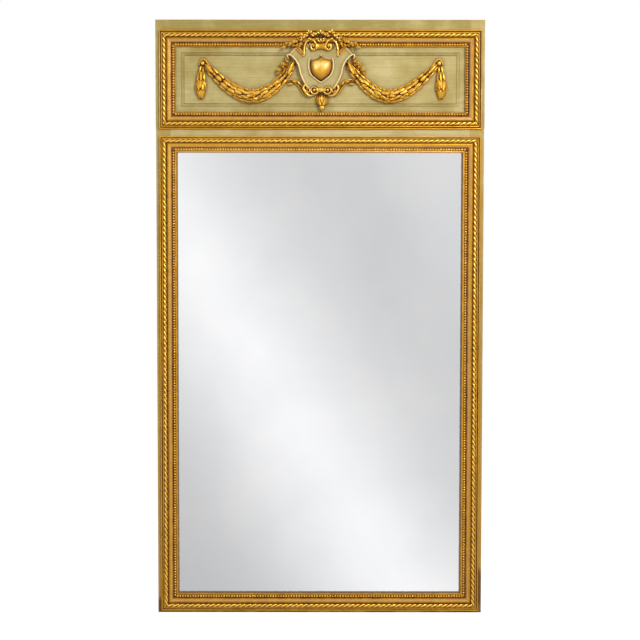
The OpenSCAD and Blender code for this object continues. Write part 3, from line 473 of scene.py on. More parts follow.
def bladeShape(along, across, widthOf, heightOf, hollowOf):
    # A leaf: a grid of rows from stalk to tip, closed underneath
    grid = [(t, u) for t in along for u in np.linspace(-1, 1, across)]
    points = [(t + (0.10 * u * u if 0.05 < t < 0.9 else 0), widthOf(t) * u, heightOf(t, u)) for t, u in grid]
    return closedGrid(points, [hollowOf(t, u) for t, u in grid], across,
                      lambda x, y, z: (x * 0.98, y * 0.9, min(z, 0) - 0.25), first=1)


def laurelLeaf():
    # One unit long, one wide and about one high: ridged edges round a grooved middle, the tip turned down
    def widthOf(t):
        return 0.5 * (math.sin(math.pi * min(max(t, 0.02), 0.985) ** 0.85)) ** 0.78

    def heightOf(t, u):
        body = (0.30 + 0.75 * math.sin(math.pi * min(t + 0.12, 1) * 0.86)) * (1 - 0.75 * abs(u) ** 2.4)
        return body - 0.20 * math.exp(-(u / 0.22) ** 2) * (1 - t ** 3)

    # Painted shade: the middle groove, the stalk end and the edges are painted darker
    def hollowOf(t, u):
        return max(0.50 * math.exp(-(u / 0.2) ** 2) * (1 - t), 0.75 * max(0.0, 0.28 - t) / 0.28,
                   0.45 * abs(u) ** 4)

    return bladeShape([0, 0.08, 0.22, 0.4, 0.58, 0.75, 0.88, 0.96, 1.0], 7, widthOf, heightOf, hollowOf)


def lobedLeaf(lobes=3):
    # A small acanthus leaf of one unit: scalloped edges, a vein into each lobe, the tip rolled over
    def widthOf(t):
        edge = 0.66 + 0.34 * abs(math.sin(math.pi * lobes * min(t, 0.99))) ** 0.7
        return 0.5 * (math.sin(math.pi * min(max(t, 0.03), 0.975) ** 0.7)) ** 0.55 * edge

    def heightOf(t, u):
        vein = abs(math.sin(math.pi * lobes * min(t, 0.99)))
        body = (0.35 + 0.65 * math.sin(math.pi * min(t + 0.1, 1) * 0.8)) * (1 - 0.45 * u * u)
        return body - 0.30 * abs(u) * (1 - vein) - 0.25 * math.exp(-(u / 0.2) ** 2)

    # Painted shade: the edges between the veins, the middle and the stalk end are painted darker
    def hollowOf(t, u):
        vein = abs(math.sin(math.pi * lobes * min(t, 0.99)))
        return max(0.8 * abs(u) * (1 - vein), 0.5 * math.exp(-(u / 0.2) ** 2),
                   0.7 * max(0.0, 0.25 - t) / 0.25)

    return bladeShape(np.linspace(0, 1, 6 * lobes - 2), 7, widthOf, heightOf, hollowOf)


def ballShape(radius=1.0, sides=10, rings=6, squash=1.0, dimple=0.0):
    points = [(0, 0, radius * squash * (1 - dimple))]
    for i in range(1, rings):
        a = math.pi * i / rings
        points += [(radius * math.sin(a) * math.cos(2 * math.pi * j / sides),
                    radius * math.sin(a) * math.sin(2 * math.pi * j / sides),
                    radius * math.cos(a) * squash) for j in range(sides)]
    points.append((0, 0, -radius * squash))
    last = len(points) - 1
    faces = [(0, 1 + j, 1 + (j + 1) % sides) for j in range(sides)]
    faces += [(1 + i * sides + j, 1 + (i + 1) * sides + j, 1 + (i + 1) * sides + (j + 1) % sides,
               1 + i * sides + (j + 1) % sides) for i in range(rings - 2) for j in range(sides)]
    faces += [(last, last - sides + (j + 1) % sides, last - sides + j) for j in range(sides)]
    # The half that faces back is painted darker as painted shade, and a dimpled top dark
    hollow = [max(0.0, -0.9 * p[2] / radius + 0.15) for p in points]
    if dimple:
        hollow[0] = 0.7
    return shape(points, faces, hollow)


def latheAcross(profile, middle, sides=20):
    # A turned bar that lies along x: profile is (distance along x, radius)
    points = [(middle[0] + x, middle[1] + r * math.cos(2 * math.pi * j / sides),
               middle[2] + r * math.sin(2 * math.pi * j / sides)) for x, r in profile for j in range(sides)]
    rows = len(profile)
    faces = [(i * sides + j, i * sides + (j + 1) % sides, (i + 1) * sides + (j + 1) % sides,
              (i + 1) * sides + j)
             for i in range(rows - 1) for j in range(sides)]
    faces.append(tuple(range(sides - 1, -1, -1)))
    faces.append(tuple(range((rows - 1) * sides, rows * sides)))
    low = min(r for x, r in profile)
    high = max(r for x, r in profile)
    # The narrow parts are painted darker than the full ones, as painted shade
    hollow = [0.5 * (1 - (r - low) / max(high - low, 1e-6)) for x, r in profile for j in range(sides)]
    return shape(points, [f[::-1] for f in faces], hollow)


def turned(turn, lift, roll):
    # Rolls about the length, lifts the tip out of the face, then turns on the face
    return (Matrix.Rotation(math.radians(turn), 3, "Z") @ Matrix.Rotation(-math.radians(lift), 3, "Y")
            @ Matrix.Rotation(math.radians(roll), 3, "X"))


def placed(made, at, turn=0.0, size=(1, 1, 1), lift=0.0, roll=0.0):
    points, faces, hollow = made
    moved = (np.array(turned(turn, lift, roll)) @ (points * np.array(size)).T).T + np.array(at)
    return moved, faces, hollow


# Node trees

def newTree(name, numbers):
    # A tree that copies the object Form, with its numbers and their usual values
    tree = bpy.data.node_groups.new(name, "GeometryNodeTree")
    sockets = [("Geometry", "Geometry", None), ("Form", "Object", None), ("Material", "Material", None)]
    sockets += [(label, "Int" if isinstance(value, int) else "Float", value) for label,
                value in numbers.items()]
    for label, kind, value in sockets:
        made = tree.interface.new_socket(label, in_out="INPUT", socket_type=f"NodeSocket{kind}")
        if value is not None:
            made.default_value = value
    tree.interface.new_socket("Geometry", in_out="OUTPUT", socket_type="NodeSocketGeometry")
    add = partial(addNode, tree)
    return tree, add, add("NodeGroupInput", out=None)


def laidOut(add, given, sockets):
    # Copies the form onto the points, makes the copies real and gives them their material
    form = add("GeometryNodeObjectInfo", {"Object": given["Form"]}, "Geometry")
    copies = add("GeometryNodeInstanceOnPoints", {"Instance": form, **sockets})
    real = add("GeometryNodeRealizeInstances", (copies,))
    coloured = add("GeometryNodeSetMaterial", {"Geometry": real, "Material": given["Material"]})
    add("NodeGroupOutput", (coloured,), None)


def runTree(tree, base, settings, name):
    # Evaluates the tree on a base mesh and returns its result as a shape in the tree's own units
    holder = bpy.data.objects.new(name, base)
    scene.collection.objects.link(holder)
    modifier = holder.modifiers.new(name, "NODES")
    modifier.node_group = tree
    for item in tree.interface.items_tree:
        if item.item_type == "SOCKET" and item.in_out == "INPUT" and item.name in settings:
            modifier[item.identifier] = settings[item.name]
    bpy.context.view_layer.update()
    graph = bpy.context.evaluated_depsgraph_get()
    result = bpy.data.meshes.new_from_object(holder.evaluated_get(graph))
    holder.modifiers.remove(modifier)
    points = np.zeros(len(result.vertices) * 3)
    result.vertices.foreach_get("co", points)
    hollow = np.zeros(len(result.vertices))
    if "hollow" in result.attributes:
        result.attributes["hollow"].data.foreach_get("value", hollow)
    made = shape(points, [tuple(p.vertices) for p in result.polygons], hollow)
    bpy.data.objects.remove(holder)
    bpy.data.meshes.remove(result)
    return made


def rowTree():
    # Copies of one carved form in a row along x, each a little larger or smaller than the next
    tree, add, g = newTree("carved row", {"Count": 10, "Pitch": 8.0, "Across": 0.0, "Height": 0.0,
                                          "Uneven": 0.04, "Seed": 3})
    gaps = add(mathNode, (g["Count"], 1.0), operation="SUBTRACT")
    half = add(mathNode, (add(mathNode, (gaps, g["Pitch"]), operation="MULTIPLY"), -0.5),
               operation="MULTIPLY")
    line = add("GeometryNodeMeshLine", {
        "Count": g["Count"], "Start Location": add("ShaderNodeCombineXYZ", (half, g["Across"], g["Height"])),
        "Offset": add("ShaderNodeCombineXYZ", (g["Pitch"], 0.0, 0.0))}, mode="OFFSET")
    least = add(mathNode, (1.0, g["Uneven"]), operation="SUBTRACT")
    most = add(mathNode, (1.0, add(mathNode, (g["Uneven"], 0.6), operation="MULTIPLY")), operation="ADD")
    size = add("FunctionNodeRandomValue", {2: least, 3: most, "Seed": g["Seed"]}, 1, data_type="FLOAT")
    laidOut(add, g, {"Points": line, "Scale": size})
    return tree


def sprayTree():
    # Copies of one leaf or berry on loose points, each with the turn and the size that its point carries
    tree, add, g = newTree("carved spray", {"Uneven": 0.06, "Seed": 5})
    turn, grow = (add("GeometryNodeInputNamedAttribute", {"Name": name}, data_type="FLOAT_VECTOR")
                  for name in ("turn", "grow"))
    least, most = (add(mathNode, (1.0, g["Uneven"]), operation=how) for how in ("SUBTRACT", "ADD"))
    uneven = add("FunctionNodeRandomValue", {2: least, 3: most, "Seed": g["Seed"]}, 1, data_type="FLOAT")
    size = add("ShaderNodeVectorMath", {0: grow, "Scale": uneven}, operation="SCALE")
    laidOut(add, g, {"Points": g["Geometry"], "Rotation": add("FunctionNodeEulerToRotation", (turn,)),
                     "Scale": size})
    return tree


rows, sprays = rowTree(), sprayTree()


def patternObject(name, made):
    # A form that the trees copy. It is no piece itself, so it goes again once the copies are made
    points, faces, hollow = made
    mesh = bpy.data.meshes.new(name)
    mesh.from_pydata(points.tolist(), [], faces)
    keepValues(mesh, "hollow", hollow)
    holder = bpy.data.objects.new(name, mesh)
    scene.collection.objects.link(holder)
    return holder


def sprayOf(form, places, seed, uneven=0.05):
    # places is a list of (x, y, z, matrix or None, (sx, sy, sz))
    base = bpy.data.meshes.new("spray points")
    base.from_pydata([p[:3] for p in places], [], [])
    turns = [tuple(p[3].to_euler()) if p[3] is not None else (0, 0, 0) for p in places]
    for name, vectors in (("turn", turns), ("grow", [p[4] for p in places])):
        base.attributes.new(name, "FLOAT_VECTOR", "POINT").data.foreach_set("vector", np.ravel(vectors))
    return runTree(sprays, base, {"Form": form, "Uneven": uneven, "Seed": seed, "Material": giltWood}, "spray")


# Carved mouldings

moulding = {
    "fillet": 3.6, "groove": 2.8, "step": 3.4, "rope": 11.4, "slope": 6.0, "flat": 10.0, "beadQuirk": 2.6,
    "bead": 7.4, "bed": 4.0, "filletHigh": 6.0, "stepHigh": 6.8, "ropeHigh": 6.4, "flatHigh": 9.2,
    "sightHigh": 6.0, "ropePitch": 16.0, "ropeCut": 3.0, "ropeSlant": 38.0, "beadPitch": 8.0,
}


def edgeOf(*parts):
    # How far from the outer edge a part of the moulding ends
    return sum(moulding[part] for part in parts)


ropeMiddle = edgeOf("fillet", "groove", "step") + moulding["rope"] / 2
flatStart = edgeOf("fillet", "groove", "step", "rope", "slope")
beadMiddle = flatStart + edgeOf("flat", "beadQuirk") + moulding["bead"] / 2


def mouldingSection(sight):
    # The section of a stick from its outer edge, as (across, height, darkness), the darkness being painted
    # shade in its grooves and quirks over their bole and dust. The mirror's has a sight fillet
    m = moulding
    a = m["fillet"]
    b = a + m["groove"]
    s = b + m["step"]
    c = s + m["rope"]
    d, e, g = flatStart, flatStart + m["flat"], beadMiddle + m["bead"] / 2
    high, bed = m["flatHigh"], m["bed"]
    points = [(0.0, 0.0, 0.9), (0.0, m["filletHigh"] - 0.6, 0.50), (0.5, m["filletHigh"], 0.30),
              (a - 1.0, m["filletHigh"], 0.42), (a, m["filletHigh"] - 0.8, 0.55)]
    for k in range(1, 5):
        t = k / 5
        points.append((a + (b - a) * t, m["filletHigh"] - 0.8 - 2.8 * math.sin(math.pi * t) ** 0.8,
                       0.55 + 0.38 * math.sin(math.pi * t)))
    points += [(b + 0.2, m["stepHigh"] - 0.8, 0.40), (b + 1.0, m["stepHigh"], 0.14),
               (s - 0.8, m["stepHigh"] - 0.2, 0.24), (s, 4.2, 0.80), (c - 0.4, 4.2, 0.75), (c, 4.8, 0.70)]
    for k in range(1, 7):
        t = k / 6
        points.append((c + (d - c) * t, 4.8 + (high - 4.9) * math.sin(math.pi / 2 * t) ** 1.1,
                       0.66 - 0.22 * t))
    points += [(d + 0.6, high, 0.42), (d + 1.6, high - 0.05, 0.38), (d + 2.2, high - 0.3, 0.38),
               (d + 4.0, high - 0.6, 0.30), (d + 6.0, high - 1.2, 0.40), (e - 2.0, high - 2.0, 0.56),
               (e, high - 3.2, 0.6), (e + 0.1, bed + 0.6, 0.82), (e + 0.5, bed, 0.86),
               (e + m["beadQuirk"] + 1.0, bed, 0.80), (g - 1.0, bed, 0.74)]
    if sight:
        w = g + 6.2
        points += [(g + 0.2, bed, 0.70), (g + 0.5, m["sightHigh"] - 0.4, 0.50),
                   (g + 1.0, m["sightHigh"], 0.34), (w - 2.4, m["sightHigh"] - 0.15, 0.46),
                   (w - 0.6, m["sightHigh"], 0.44), (w, m["sightHigh"] - 0.6, 0.55), (w, 0.0, 1.0)]
    else:
        w = g + 2.2
        points += [(g + 0.3, bed, 0.60), (w - 0.5, bed, 0.42), (w, bed - 0.5, 0.55), (w, 0.0, 1.0)]
    return points


def stickBody(length, sight, seed, ends):
    # ends says how far each mitre runs back along the stick
    section = mouldingSection(sight)
    wide = section[-1][0]
    n = max(8, int(length / 45))
    dice = random.Random(seed)
    points, hollow = [], []
    for i in range(n + 1):
        t = i / n
        drift = [dice.uniform(-0.12, 0.12) for _ in section] if 0 < i < n else [0] * len(section)
        for (u, v, deep), slip in zip(section, drift):
            x0, x1 = u / wide * ends[0] - length / 2, length / 2 - u / wide * ends[1]
            points.append((x0 + (x1 - x0) * t, u, v + (slip if v > 0 else 0)))
            hollow.append(deep)
    m = len(section)
    faces = [(i * m + j, (i + 1) * m + j, (i + 1) * m + (j + 1) % m, i * m + (j + 1) % m)
             for i in range(n) for j in range(m)]
    faces.append(tuple(range(m)))
    faces.append(tuple(range(n * m + m - 1, n * m - 1, -1)))
    return shape(points, [f[::-1] for f in faces], hollow)


def ropeStrandShape():
    # One strand of the rope, seen from above a slanting S with a rounded back. Its cuts and flanks are
    # painted dark as painted shade, its outer side more
    m = moulding
    r = m["rope"] / 2
    across, along = 9, 5
    points, hollow = [], []
    for i in range(across):
        a = math.radians(-102 + 204 * i / (across - 1))
        for j in range(along):
            b = -1 + 2 * j / (along - 1)
            radius = r - m["ropeCut"] * abs(b) ** 1.7 * (0.55 + 0.45 * math.cos(a * 0.8))
            x = b * m["ropePitch"] / 2 * 1.04 + 0.86 * r * a / math.tan(math.radians(m["ropeSlant"]))
            points.append((x, radius * math.sin(a), radius * math.cos(a)))
            # Painted shade, heavier on the side towards the outer edge
            outer = 0.30 * max(0.0, -a) + 0.12 * max(0.0, a)
            hollow.append(max(abs(b) ** 2.2 * 1.15,
                              0.85 * (1 - math.cos(a)) ** 1.3 if abs(a) > 0.9 else 0) + outer)
    return closedGrid(points, hollow, along, lambda x, y, z: (x * 0.96, y * 0.5, z * 0.3))


def cutToMitre(made, length, wide, ends):
    # Cuts what runs past the two mitres of a stick and closes it again
    points, faces, hollow = made
    mesh = bmesh.new()
    layer = mesh.verts.layers.float.new("hollow")
    for p, h in zip(points, hollow):
        mesh.verts.new(p)[layer] = h
    mesh.verts.ensure_lookup_table()
    for f in faces:
        mesh.faces.new([mesh.verts[i] for i in f])
    for side, reach in zip((-1, 1), ends):
        everything = list(mesh.verts) + list(mesh.edges) + list(mesh.faces)
        bmesh.ops.bisect_plane(mesh, geom=everything, plane_co=(side * length / 2, 0, 0),
                               plane_no=(side, reach / wide, 0), clear_outer=True)
        bmesh.ops.holes_fill(mesh, edges=[e for e in mesh.edges if e.is_boundary], sides=0)
    mesh.verts.index_update()
    result = shape([tuple(v.co) for v in mesh.verts], [[v.index for v in f.verts] for f in mesh.faces],
                   [v[layer] for v in mesh.verts])
    mesh.free()
    return result


strandForm = patternObject("rope strand form", ropeStrandShape())
beadForm = patternObject("bead form", ballShape(moulding["bead"] / 2, 8, 6))


def stick(length, sight, seed, ends):
    m = moulding
    empty = bpy.data.meshes.new("row base")
    rope = runTree(rows, empty, {"Form": strandForm, "Count": int(length / m["ropePitch"]) + 2,
                                 "Pitch": m["ropePitch"], "Across": ropeMiddle, "Height": m["ropeHigh"],
                                 "Uneven": 0.03, "Seed": seed, "Material": giltBright}, "rope")
    beads = runTree(rows, empty, {"Form": beadForm,
                                  "Count": int((length - 2 * beadMiddle - m["bead"]) / m["beadPitch"]) + 1,
                                  "Pitch": m["beadPitch"], "Across": beadMiddle, "Height": m["bed"] + 0.8,
                                  "Uneven": 0.07, "Seed": seed + 1, "Material": giltBright}, "beads")
    wide = mouldingSection(sight)[-1][0]
    # The beads are painted darker, as painted shade in the row
    return [stickBody(length, sight, seed, ends), cutToMitre(rope, length, wide, ends), deeper(beads, 0.30)]


def oldPaintOf(points, strength):
    # Which points of a stick lie on its painted flat
    u, v = points[:, 1], points[:, 2]
    flat = (u > flatStart + 2.4) & (u < flatStart + moulding["flat"] - 3.0) & (v > moulding["bed"] + 1.2)
    return flat * strength


def turnStick(made, side, wide, high):
    points, faces, hollow = made
    depth = (high if side % 2 == 0 else wide) / 2
    x, y = points[:, 0], points[:, 1] - depth
    for _ in range(side):
        x, y = -y, x
    return np.column_stack([x, y, points[:, 2]]), faces, hollow


def mouldingRing(section, oldPaint):
    left, right, low, high = ringEdges(section)
    wide, tall = right - left, high - low
    widths = rings[section]["wide"]
    plain = mouldingSection(section == "mirror")[-1][0]
    for side, name in enumerate(["bottom", "right", "top", "left"]):
        parts = stick(wide if side % 2 == 0 else tall, section == "mirror", 11 * side + len(section),
                      (widths[side - 1], widths[(side + 1) % 4]))
        carved = joined(parts)
        worn = rings[section]["worn"][side]
        sized = (carved[0] * np.array([1, widths[side] / plain, 1]), carved[1], carved[2] + worn)
        piece = makePiece(f"{section}_carved_{name}", turnStick(sized, side, wide, tall),
                          [giltWood, giltBright], "gilt_wood", [f"{section}_moulding_{name}"],
                          ((left + right) / 2, (low + high) / 2))
        keepValues(piece.data, "oldPaint", oldPaintOf(carved[0], oldPaint))
        bodyCount = len(parts[0][0])
        for face in piece.data.polygons:
            face.material_index = 1 if face.vertices[0] >= bodyCount else 0


mouldingRing("mirror", 0.75)
mouldingRing("frieze", 1.0)
print("mouldings carved")


# Ornament of the frieze

leafForm = patternObject("laurel leaf form", laurelLeaf())
lobedForm = patternObject("lobed leaf form", lobedLeaf(3))
berryForm = patternObject("berry form", ballShape(1.0, 8, 6, 1.0, 0.12))

garlandLook = {
    "knotX": 358, "knotY": 23, "startX": 80, "deep": 102, "lean": 10, "taper": 0.74, "power": 1.7, "wide": 46,
    "high": 17, "leafLong": 39, "leafWide": 13.4, "tier": 38, "berry": 3.4,
}


def garlandLine():
    # A chain that is lighter towards its ends hangs straighter there. Returns what tells the place and the
    # slope at a length from its middle, and half its length
    g = garlandLook
    half = (g["knotX"] - g["startX"]) / 2
    middle = (g["knotX"] + g["startX"]) / 2
    power = g["power"]
    weight = g["taper"] / (power + 1)

    def fall(t):
        return t * t / 2 - weight / (power + 2) * t ** (power + 2)

    def point(t):
        return (middle + half * t - g["lean"] * (1 - t * t),
                g["knotY"] - g["deep"] * (1 - fall(abs(t)) / fall(1)))

    turns = [point(t) for t in np.linspace(-1, 1, 61)]
    arc = sum(math.dist(a, b) for a, b in zip(turns, turns[1:])) / 2

    def at(s):
        t = s / arc
        rise = math.copysign(g["deep"] / fall(1) * (abs(t) - weight * abs(t) ** (power + 1)), t)
        return *point(t), math.atan2(rise, half + 2 * g["lean"] * t)

    return at, arc


def basis(forward, up):
    x = Vector(forward).normalized()
    z = Vector(up)
    z = (z - x * z.dot(x)).normalized()
    return Matrix((x, z.cross(x), z)).transposed()


def garlandShape(seed):
    g = garlandLook
    at, arc = garlandLine()
    dice = random.Random(seed)

    def wideAt(s):
        return g["wide"] * (1 - g["taper"] * min(abs(s) / arc, 1) ** g["power"])

    def highAt(s):
        return g["high"] * (1 - 0.50 * min(abs(s) / arc, 1) ** 1.5)

    def onBack(s, phi, out):
        # A place on the garland's rounded back: phi runs across it and out is its height as a share
        x, y, slope = at(s)
        w = wideAt(s) * 0.37 * math.sin(phi)
        return Vector((x - math.sin(slope) * w, y + math.cos(slope) * w, highAt(s) * out * math.cos(phi)))

    stations = np.linspace(-arc, arc, 41)
    core = ribbon([at(s)[:2] for s in stations], [wideAt(s) * 0.39 for s in stations],
                  [highAt(s) * 0.42 for s in stations])
    leaves, berries = [], []
    for side in (-1, 1):
        root, row = side * arc * 0.985, 0
        while abs(root) > 16:
            w = wideAt(root)
            count = (2 if w < 20 else 3 if w < 31 else 4) + row % 2
            for k in range(count):
                share = (k - (count - 1) / 2) / max((count - 1) / 2, 1)
                phi = share * math.radians(68)
                long = g["leafLong"] * (0.74 + 0.26 * w / g["wide"]) * dice.uniform(0.94, 1.06)
                start = onBack(root + dice.uniform(-3, 3), phi, 0.44)
                tip = onBack(root - side * long, phi * dice.uniform(0.94, 1.04), 0.84)
                x, y, slope = at(root)
                over = Vector((-math.sin(slope), math.cos(slope), 0))
                normal = over * math.sin(phi) + Vector((0, 0, math.cos(phi)))
                leaves.append((*start, basis(tip - start, normal),
                               (long, min(g["leafWide"], w * 0.40 + 3) * dice.uniform(0.94, 1.1), 6.2)))
            if w > 24:
                place = onBack(root - side * 2, math.radians(dice.uniform(-55, 55)), 0.90)
                berries.append((place.x, place.y, place.z + 2, None,
                                (g["berry"] * dice.uniform(0.8, 1.0),) * 3))
            root -= side * g["tier"] * (0.42 + 0.20 * w / g["wide"])
            row += 1
    for a in range(10):
        ring = 0 if a == 0 else (8.4 if a < 5 else 15)
        angle = a * 2.4
        x, y, slope = at(2)
        size = 4.8 if a == 0 else 3.9
        place = (x + ring * 0.80 * math.cos(angle), y + ring * math.sin(angle) * 1.1)
        berries.append((*place, g["high"] * (1.04 if a == 0 else 0.96 - 0.0012 * ring * ring), None,
                        (size,) * 3))
    for end in (-1, 1):
        # A long smooth leaf leads out of the knot, and another out of the cartouche
        first, last = onBack(end * arc * 0.99, 0, 0.72), onBack(end * (arc * 0.99 - 40), 0, 1.12)
        leaves.append((*first, basis(last - first, (0, 0, 1)), (46, 12, 7)))
    start, tip = Vector((80, 30, 10)), Vector((99, -12, 15))
    leaves.append((*start, basis(tip - start, (0, 0, 1)), (50, 13, 7)))
    # The core between the leaves is painted darker, as painted shade
    return joined([deeper(core, 0.75), sprayOf(leafForm, leaves, seed, 0.04),
                   sprayOf(berryForm, berries, seed + 1, 0.08)])


dropLook = {"x": 365, "topY": 15, "footY": -82,
            "half": [(-90, 0.5), (-83, 6), (-77, 13), (-66, 17.5), (-55, 18.5), (-42, 16), (-28, 11.5),
                     (-14, 8.5), (0, 6), (14, 3.5), (20, 2)]}


def dropShape(seed):
    # A hanging drop of husks: a narrow pair at the top, a tier of three, and two full tiers that close in
    d = dropLook
    dice = random.Random(seed)
    ys, halves = zip(*d["half"])

    def onDrop(y, phi, out):
        half = float(np.interp(y, ys, halves))
        middle = d["x"] - 4 * max(0.0, y + 25) / 40
        return Vector((middle + half * math.sin(phi) * 0.80, y, (3 + half * 0.62) * math.cos(phi) * out))

    levels = np.linspace(d["topY"], d["footY"] + 3, 16)
    core = ribbon([(onDrop(y, 0, 1).x, y) for y in levels], [np.interp(y, ys, halves) * 0.66 for y in levels],
                  [(3 + np.interp(y, ys, halves) * 0.62) * 0.32 for y in levels])
    leaves = []
    for count, rootY, tipY, spread0, wide in ((2, 17, -14, 34, 8.5), (3, 2, -40, 56, 12),
                                              (4, -24, -62, 70, 13), (3, -22, -58, 36, 12.5),
                                              (3, -46, -86, 62, 15), (2, -44, -84, 26, 17)):
        for k in range(count):
            phi = math.radians(spread0) * (k - (count - 1) / 2) / ((count - 1) / 2)
            start, tip = onDrop(rootY, phi, 0.78), onDrop(tipY, phi, 1.04)
            normal = Vector((math.sin(phi), 0, math.cos(phi)))
            leaves.append((*start, basis(tip - start, normal),
                           ((tip - start).length * dice.uniform(0.95, 1.04), wide * dice.uniform(0.95, 1.05),
                            6.0)))
    tips = [(d["x"] + 4 * k, d["footY"] + 1 - abs(k) * 1.5, 4.2, None, (2.7,) * 3) for k in (-1, 0, 1)]
    # The core between the husks is painted darker, as painted shade, and the husks a little
    return joined([deeper(core, 0.8), deeper(sprayOf(leafForm, leaves, seed, 0.04), 0.12),
                   sprayOf(berryForm, tips, seed + 1)])


def knotShape():
    # The garland's tie: a ribbon laid over a round boss
    g = garlandLook
    x, y = g["knotX"] + 1, g["knotY"]
    over = curve([(x - 20, y - 12), (x - 14, y - 2), (x - 7, y + 7), (x, y + 10), (x + 7, y + 4),
                  (x + 11, y - 8)], 4)
    bow = ribbon(over, [2.2, 3.2, 3.4, 3.4, 2.2], [8, 9, 9, 8, 6])
    return joined([bow, placed(ballShape(6.4, 14, 10, 0.9, 0.05), (x, y - 2.5, 6.5))])


def blossomShape(x, y, z, size, turn, petals=3, fan=58):
    # A blossom seen from its side: plump petals fan out of a throat, a ball painted fully dark as painted
    # shade
    parts = [placed(deeper(ballShape(size * 0.30, 10, 6, 0.5), 1), (x, y, z))]
    for k in range(petals):
        angle = turn + fan * (k - (petals - 1) / 2)
        reach = size * (0.58 if k == (petals - 1) / 2 else 0.50)
        parts.append(placed(ballShape(1, 10, 8), (x + reach * math.cos(math.radians(angle)),
                                                  y + reach * math.sin(math.radians(angle)), z + 2.2),
                            angle, (size * 0.44, size * 0.27, size * 0.34), 24))
    return joined(parts)


def leafSet(leaves, form, seed):
    # leaves is a list of (x, y, z, angle on the face, length, width, height, lift, roll)
    return sprayOf(form, [(x, y, z, turned(angle, lift, roll), (long, wide, high))
                          for x, y, z, angle, long, wide, high, lift, roll in leaves], seed)


def berrySet(berries, seed):
    return sprayOf(berryForm, [(x, y, z, None, (r, r, r)) for x, y, z, r in berries], seed)


def crestShape():
    # A bank of blossoms on top of the moulding, with balls painted fully dark between them as painted shade
    # in the hollows, and three berries under it
    base = ropeTop + 0.4
    bed = ribbon(curve([(-44, 98), (-24, 102), (0, 104), (24, 102), (44, 98)], 6), [1, 2.6, 2.6, 2.6, 1],
                 [3, 4, 4, 4, 3], "plain", base - 1)
    # The bed under the blossoms is painted darker, as painted shade
    parts = [deeper(bed, 0.55)]
    for x, y, size, turn, petals in ((-35, 107, 13, 105, 3), (-19, 101, 12, 112, 3), (-2, 106, 14, 90, 3),
                                     (16, 100, 12.5, 66, 3), (31, 108, 13, 78, 3), (-46, 96, 12, 120, 3),
                                     (43, 96, 12, 50, 3), (-10, 96, 9, -100, 2), (9, 96, 9, -80, 2),
                                     (-32, 96, 10, -110, 2), (31, 96, 10, -70, 2), (-56, 88, 10, 150, 2),
                                     (51, 89, 10, 20, 2)):
        parts.append(blossomShape(x, y, base + 2.5, size, turn, petals))
    hole = ballShape(4.4, 12, 8, 0.6)
    for x, y in ((-28, 101), (-2, 99), (24, 101)):
        parts.append(placed(deeper(hole, 1), (x, y, base + 3)))
    parts.append(berrySet([(0, 91, base + 2, 3.6), (-4, 93, base + 1, 2.6), (4, 93, base + 1, 2.6)], 22))
    return joined(parts)


def crestSprayShape():
    # The right-hand spray: it falls from the blossoms over the moulding, with berries and small lobed leaves
    low = bandTop + 0.3
    stem = curve([(46, 95, ropeTop), (58, 90, low + 1), (72, 85, low), (88, 79, low), (104, 74, low),
                  (116, 67, low)], 5)
    parts = [ribbon(stem, [1.8, 1.6, 1.2], [3.4, 2.8, 2.2])]
    leaves = [(53, 92, low + 3, 30, 15, 9, 5, 20, 0), (64, 88, low + 1, 48, 13, 8.5, 5, 20, 0),
              (68, 86, low + 1, -8, 17, 10, 5.5, 20, 0), (84, 80, low + 1, -6, 17, 10, 5.5, 20, 0),
              (97, 78, low + 1, 10, 15, 9.5, 5.5, 20, 0), (106, 73, low, -38, 16, 9.5, 5.5, 16, 0),
              (60, 86, low, -72, 16, 9, 5, 10, 0), (68, 80, low, -50, 15, 9, 5, 10, 0),
              (78, 78, low, -42, 13, 8, 5, 10, 0)]
    parts.append(leafSet(leaves, lobedForm, 31))
    parts.append(berrySet([(83, 83.5, low + 6, 5.0), (96, 74, low + 4, 3.8), (107, 79, low + 4, 3.6),
                           (117, 66.5, low + 3, 3.4), (66, 71, low + 2, 3.4)], 32))
    return joined(parts)


def sideSprayShape():
    # The right-hand sprig beside the garland's start: lobed leaves and their buds
    stem = curve([(96, 34), (104, 22), (115, 9), (128, -6)], 5)
    parts = [ribbon(stem, [2.2, 2.2, 1.6], [5, 5, 3.5])]
    leaves = [(95, 33, 2, 6, 17, 11, 7, 26, 0), (100, 26, 3, 40, 15, 10, 7, 22, 0),
              (105, 19, 3, -6, 19, 12, 7, 24, 0), (113, 11, 3, 36, 16, 11, 7, 20, 0),
              (118, 3, 3, -14, 20, 12, 7, 20, 0), (125, -3, 3, -44, 15, 10, 6, 16, 0),
              (109, 12, 2, -64, 14, 9, 6, 12, 0), (100, 22, 2, -60, 13, 9, 6, 12, 0)]
    parts.append(leafSet(leaves, lobedForm, 41))
    parts.append(berrySet([(102, 26, 9, 4.2), (115, 10, 9, 4.0), (131, -7, 7, 3.6)], 42))
    return joined(parts)


def acanthusShape():
    # The right-hand branch from under the bottom scroll: two long blades side by side, and short leaves
    main = curve([(42, -76), (51, -66), (59, -54), (68, -42), (80, -35), (94, -35), (107, -37)], 6)
    upper = curve([(48, -58), (56, -49), (64, -40), (74, -32), (88, -28), (103, -27)], 6)
    parts = [ribbon(main, [3.2, 5.2, 5.4, 4.6, 3.6, 2.4, 1.0], [7, 9, 9, 8, 6, 4], "fluted"),
             ribbon(upper, [1.2, 3.4, 3.8, 3.4, 2.6, 1.2], [6, 9, 9, 7, 5, 3])]
    leaves = [(82, -40, 4, -6, 20, 7.5, 6, 8, 0), (60, -47, 7, 50, 18, 8, 6, 8, 0),
              (70, -37, 6, 14, 20, 8, 6, 8, 0)]
    parts.append(leafSet(leaves, leafForm, 51))
    return joined(parts)


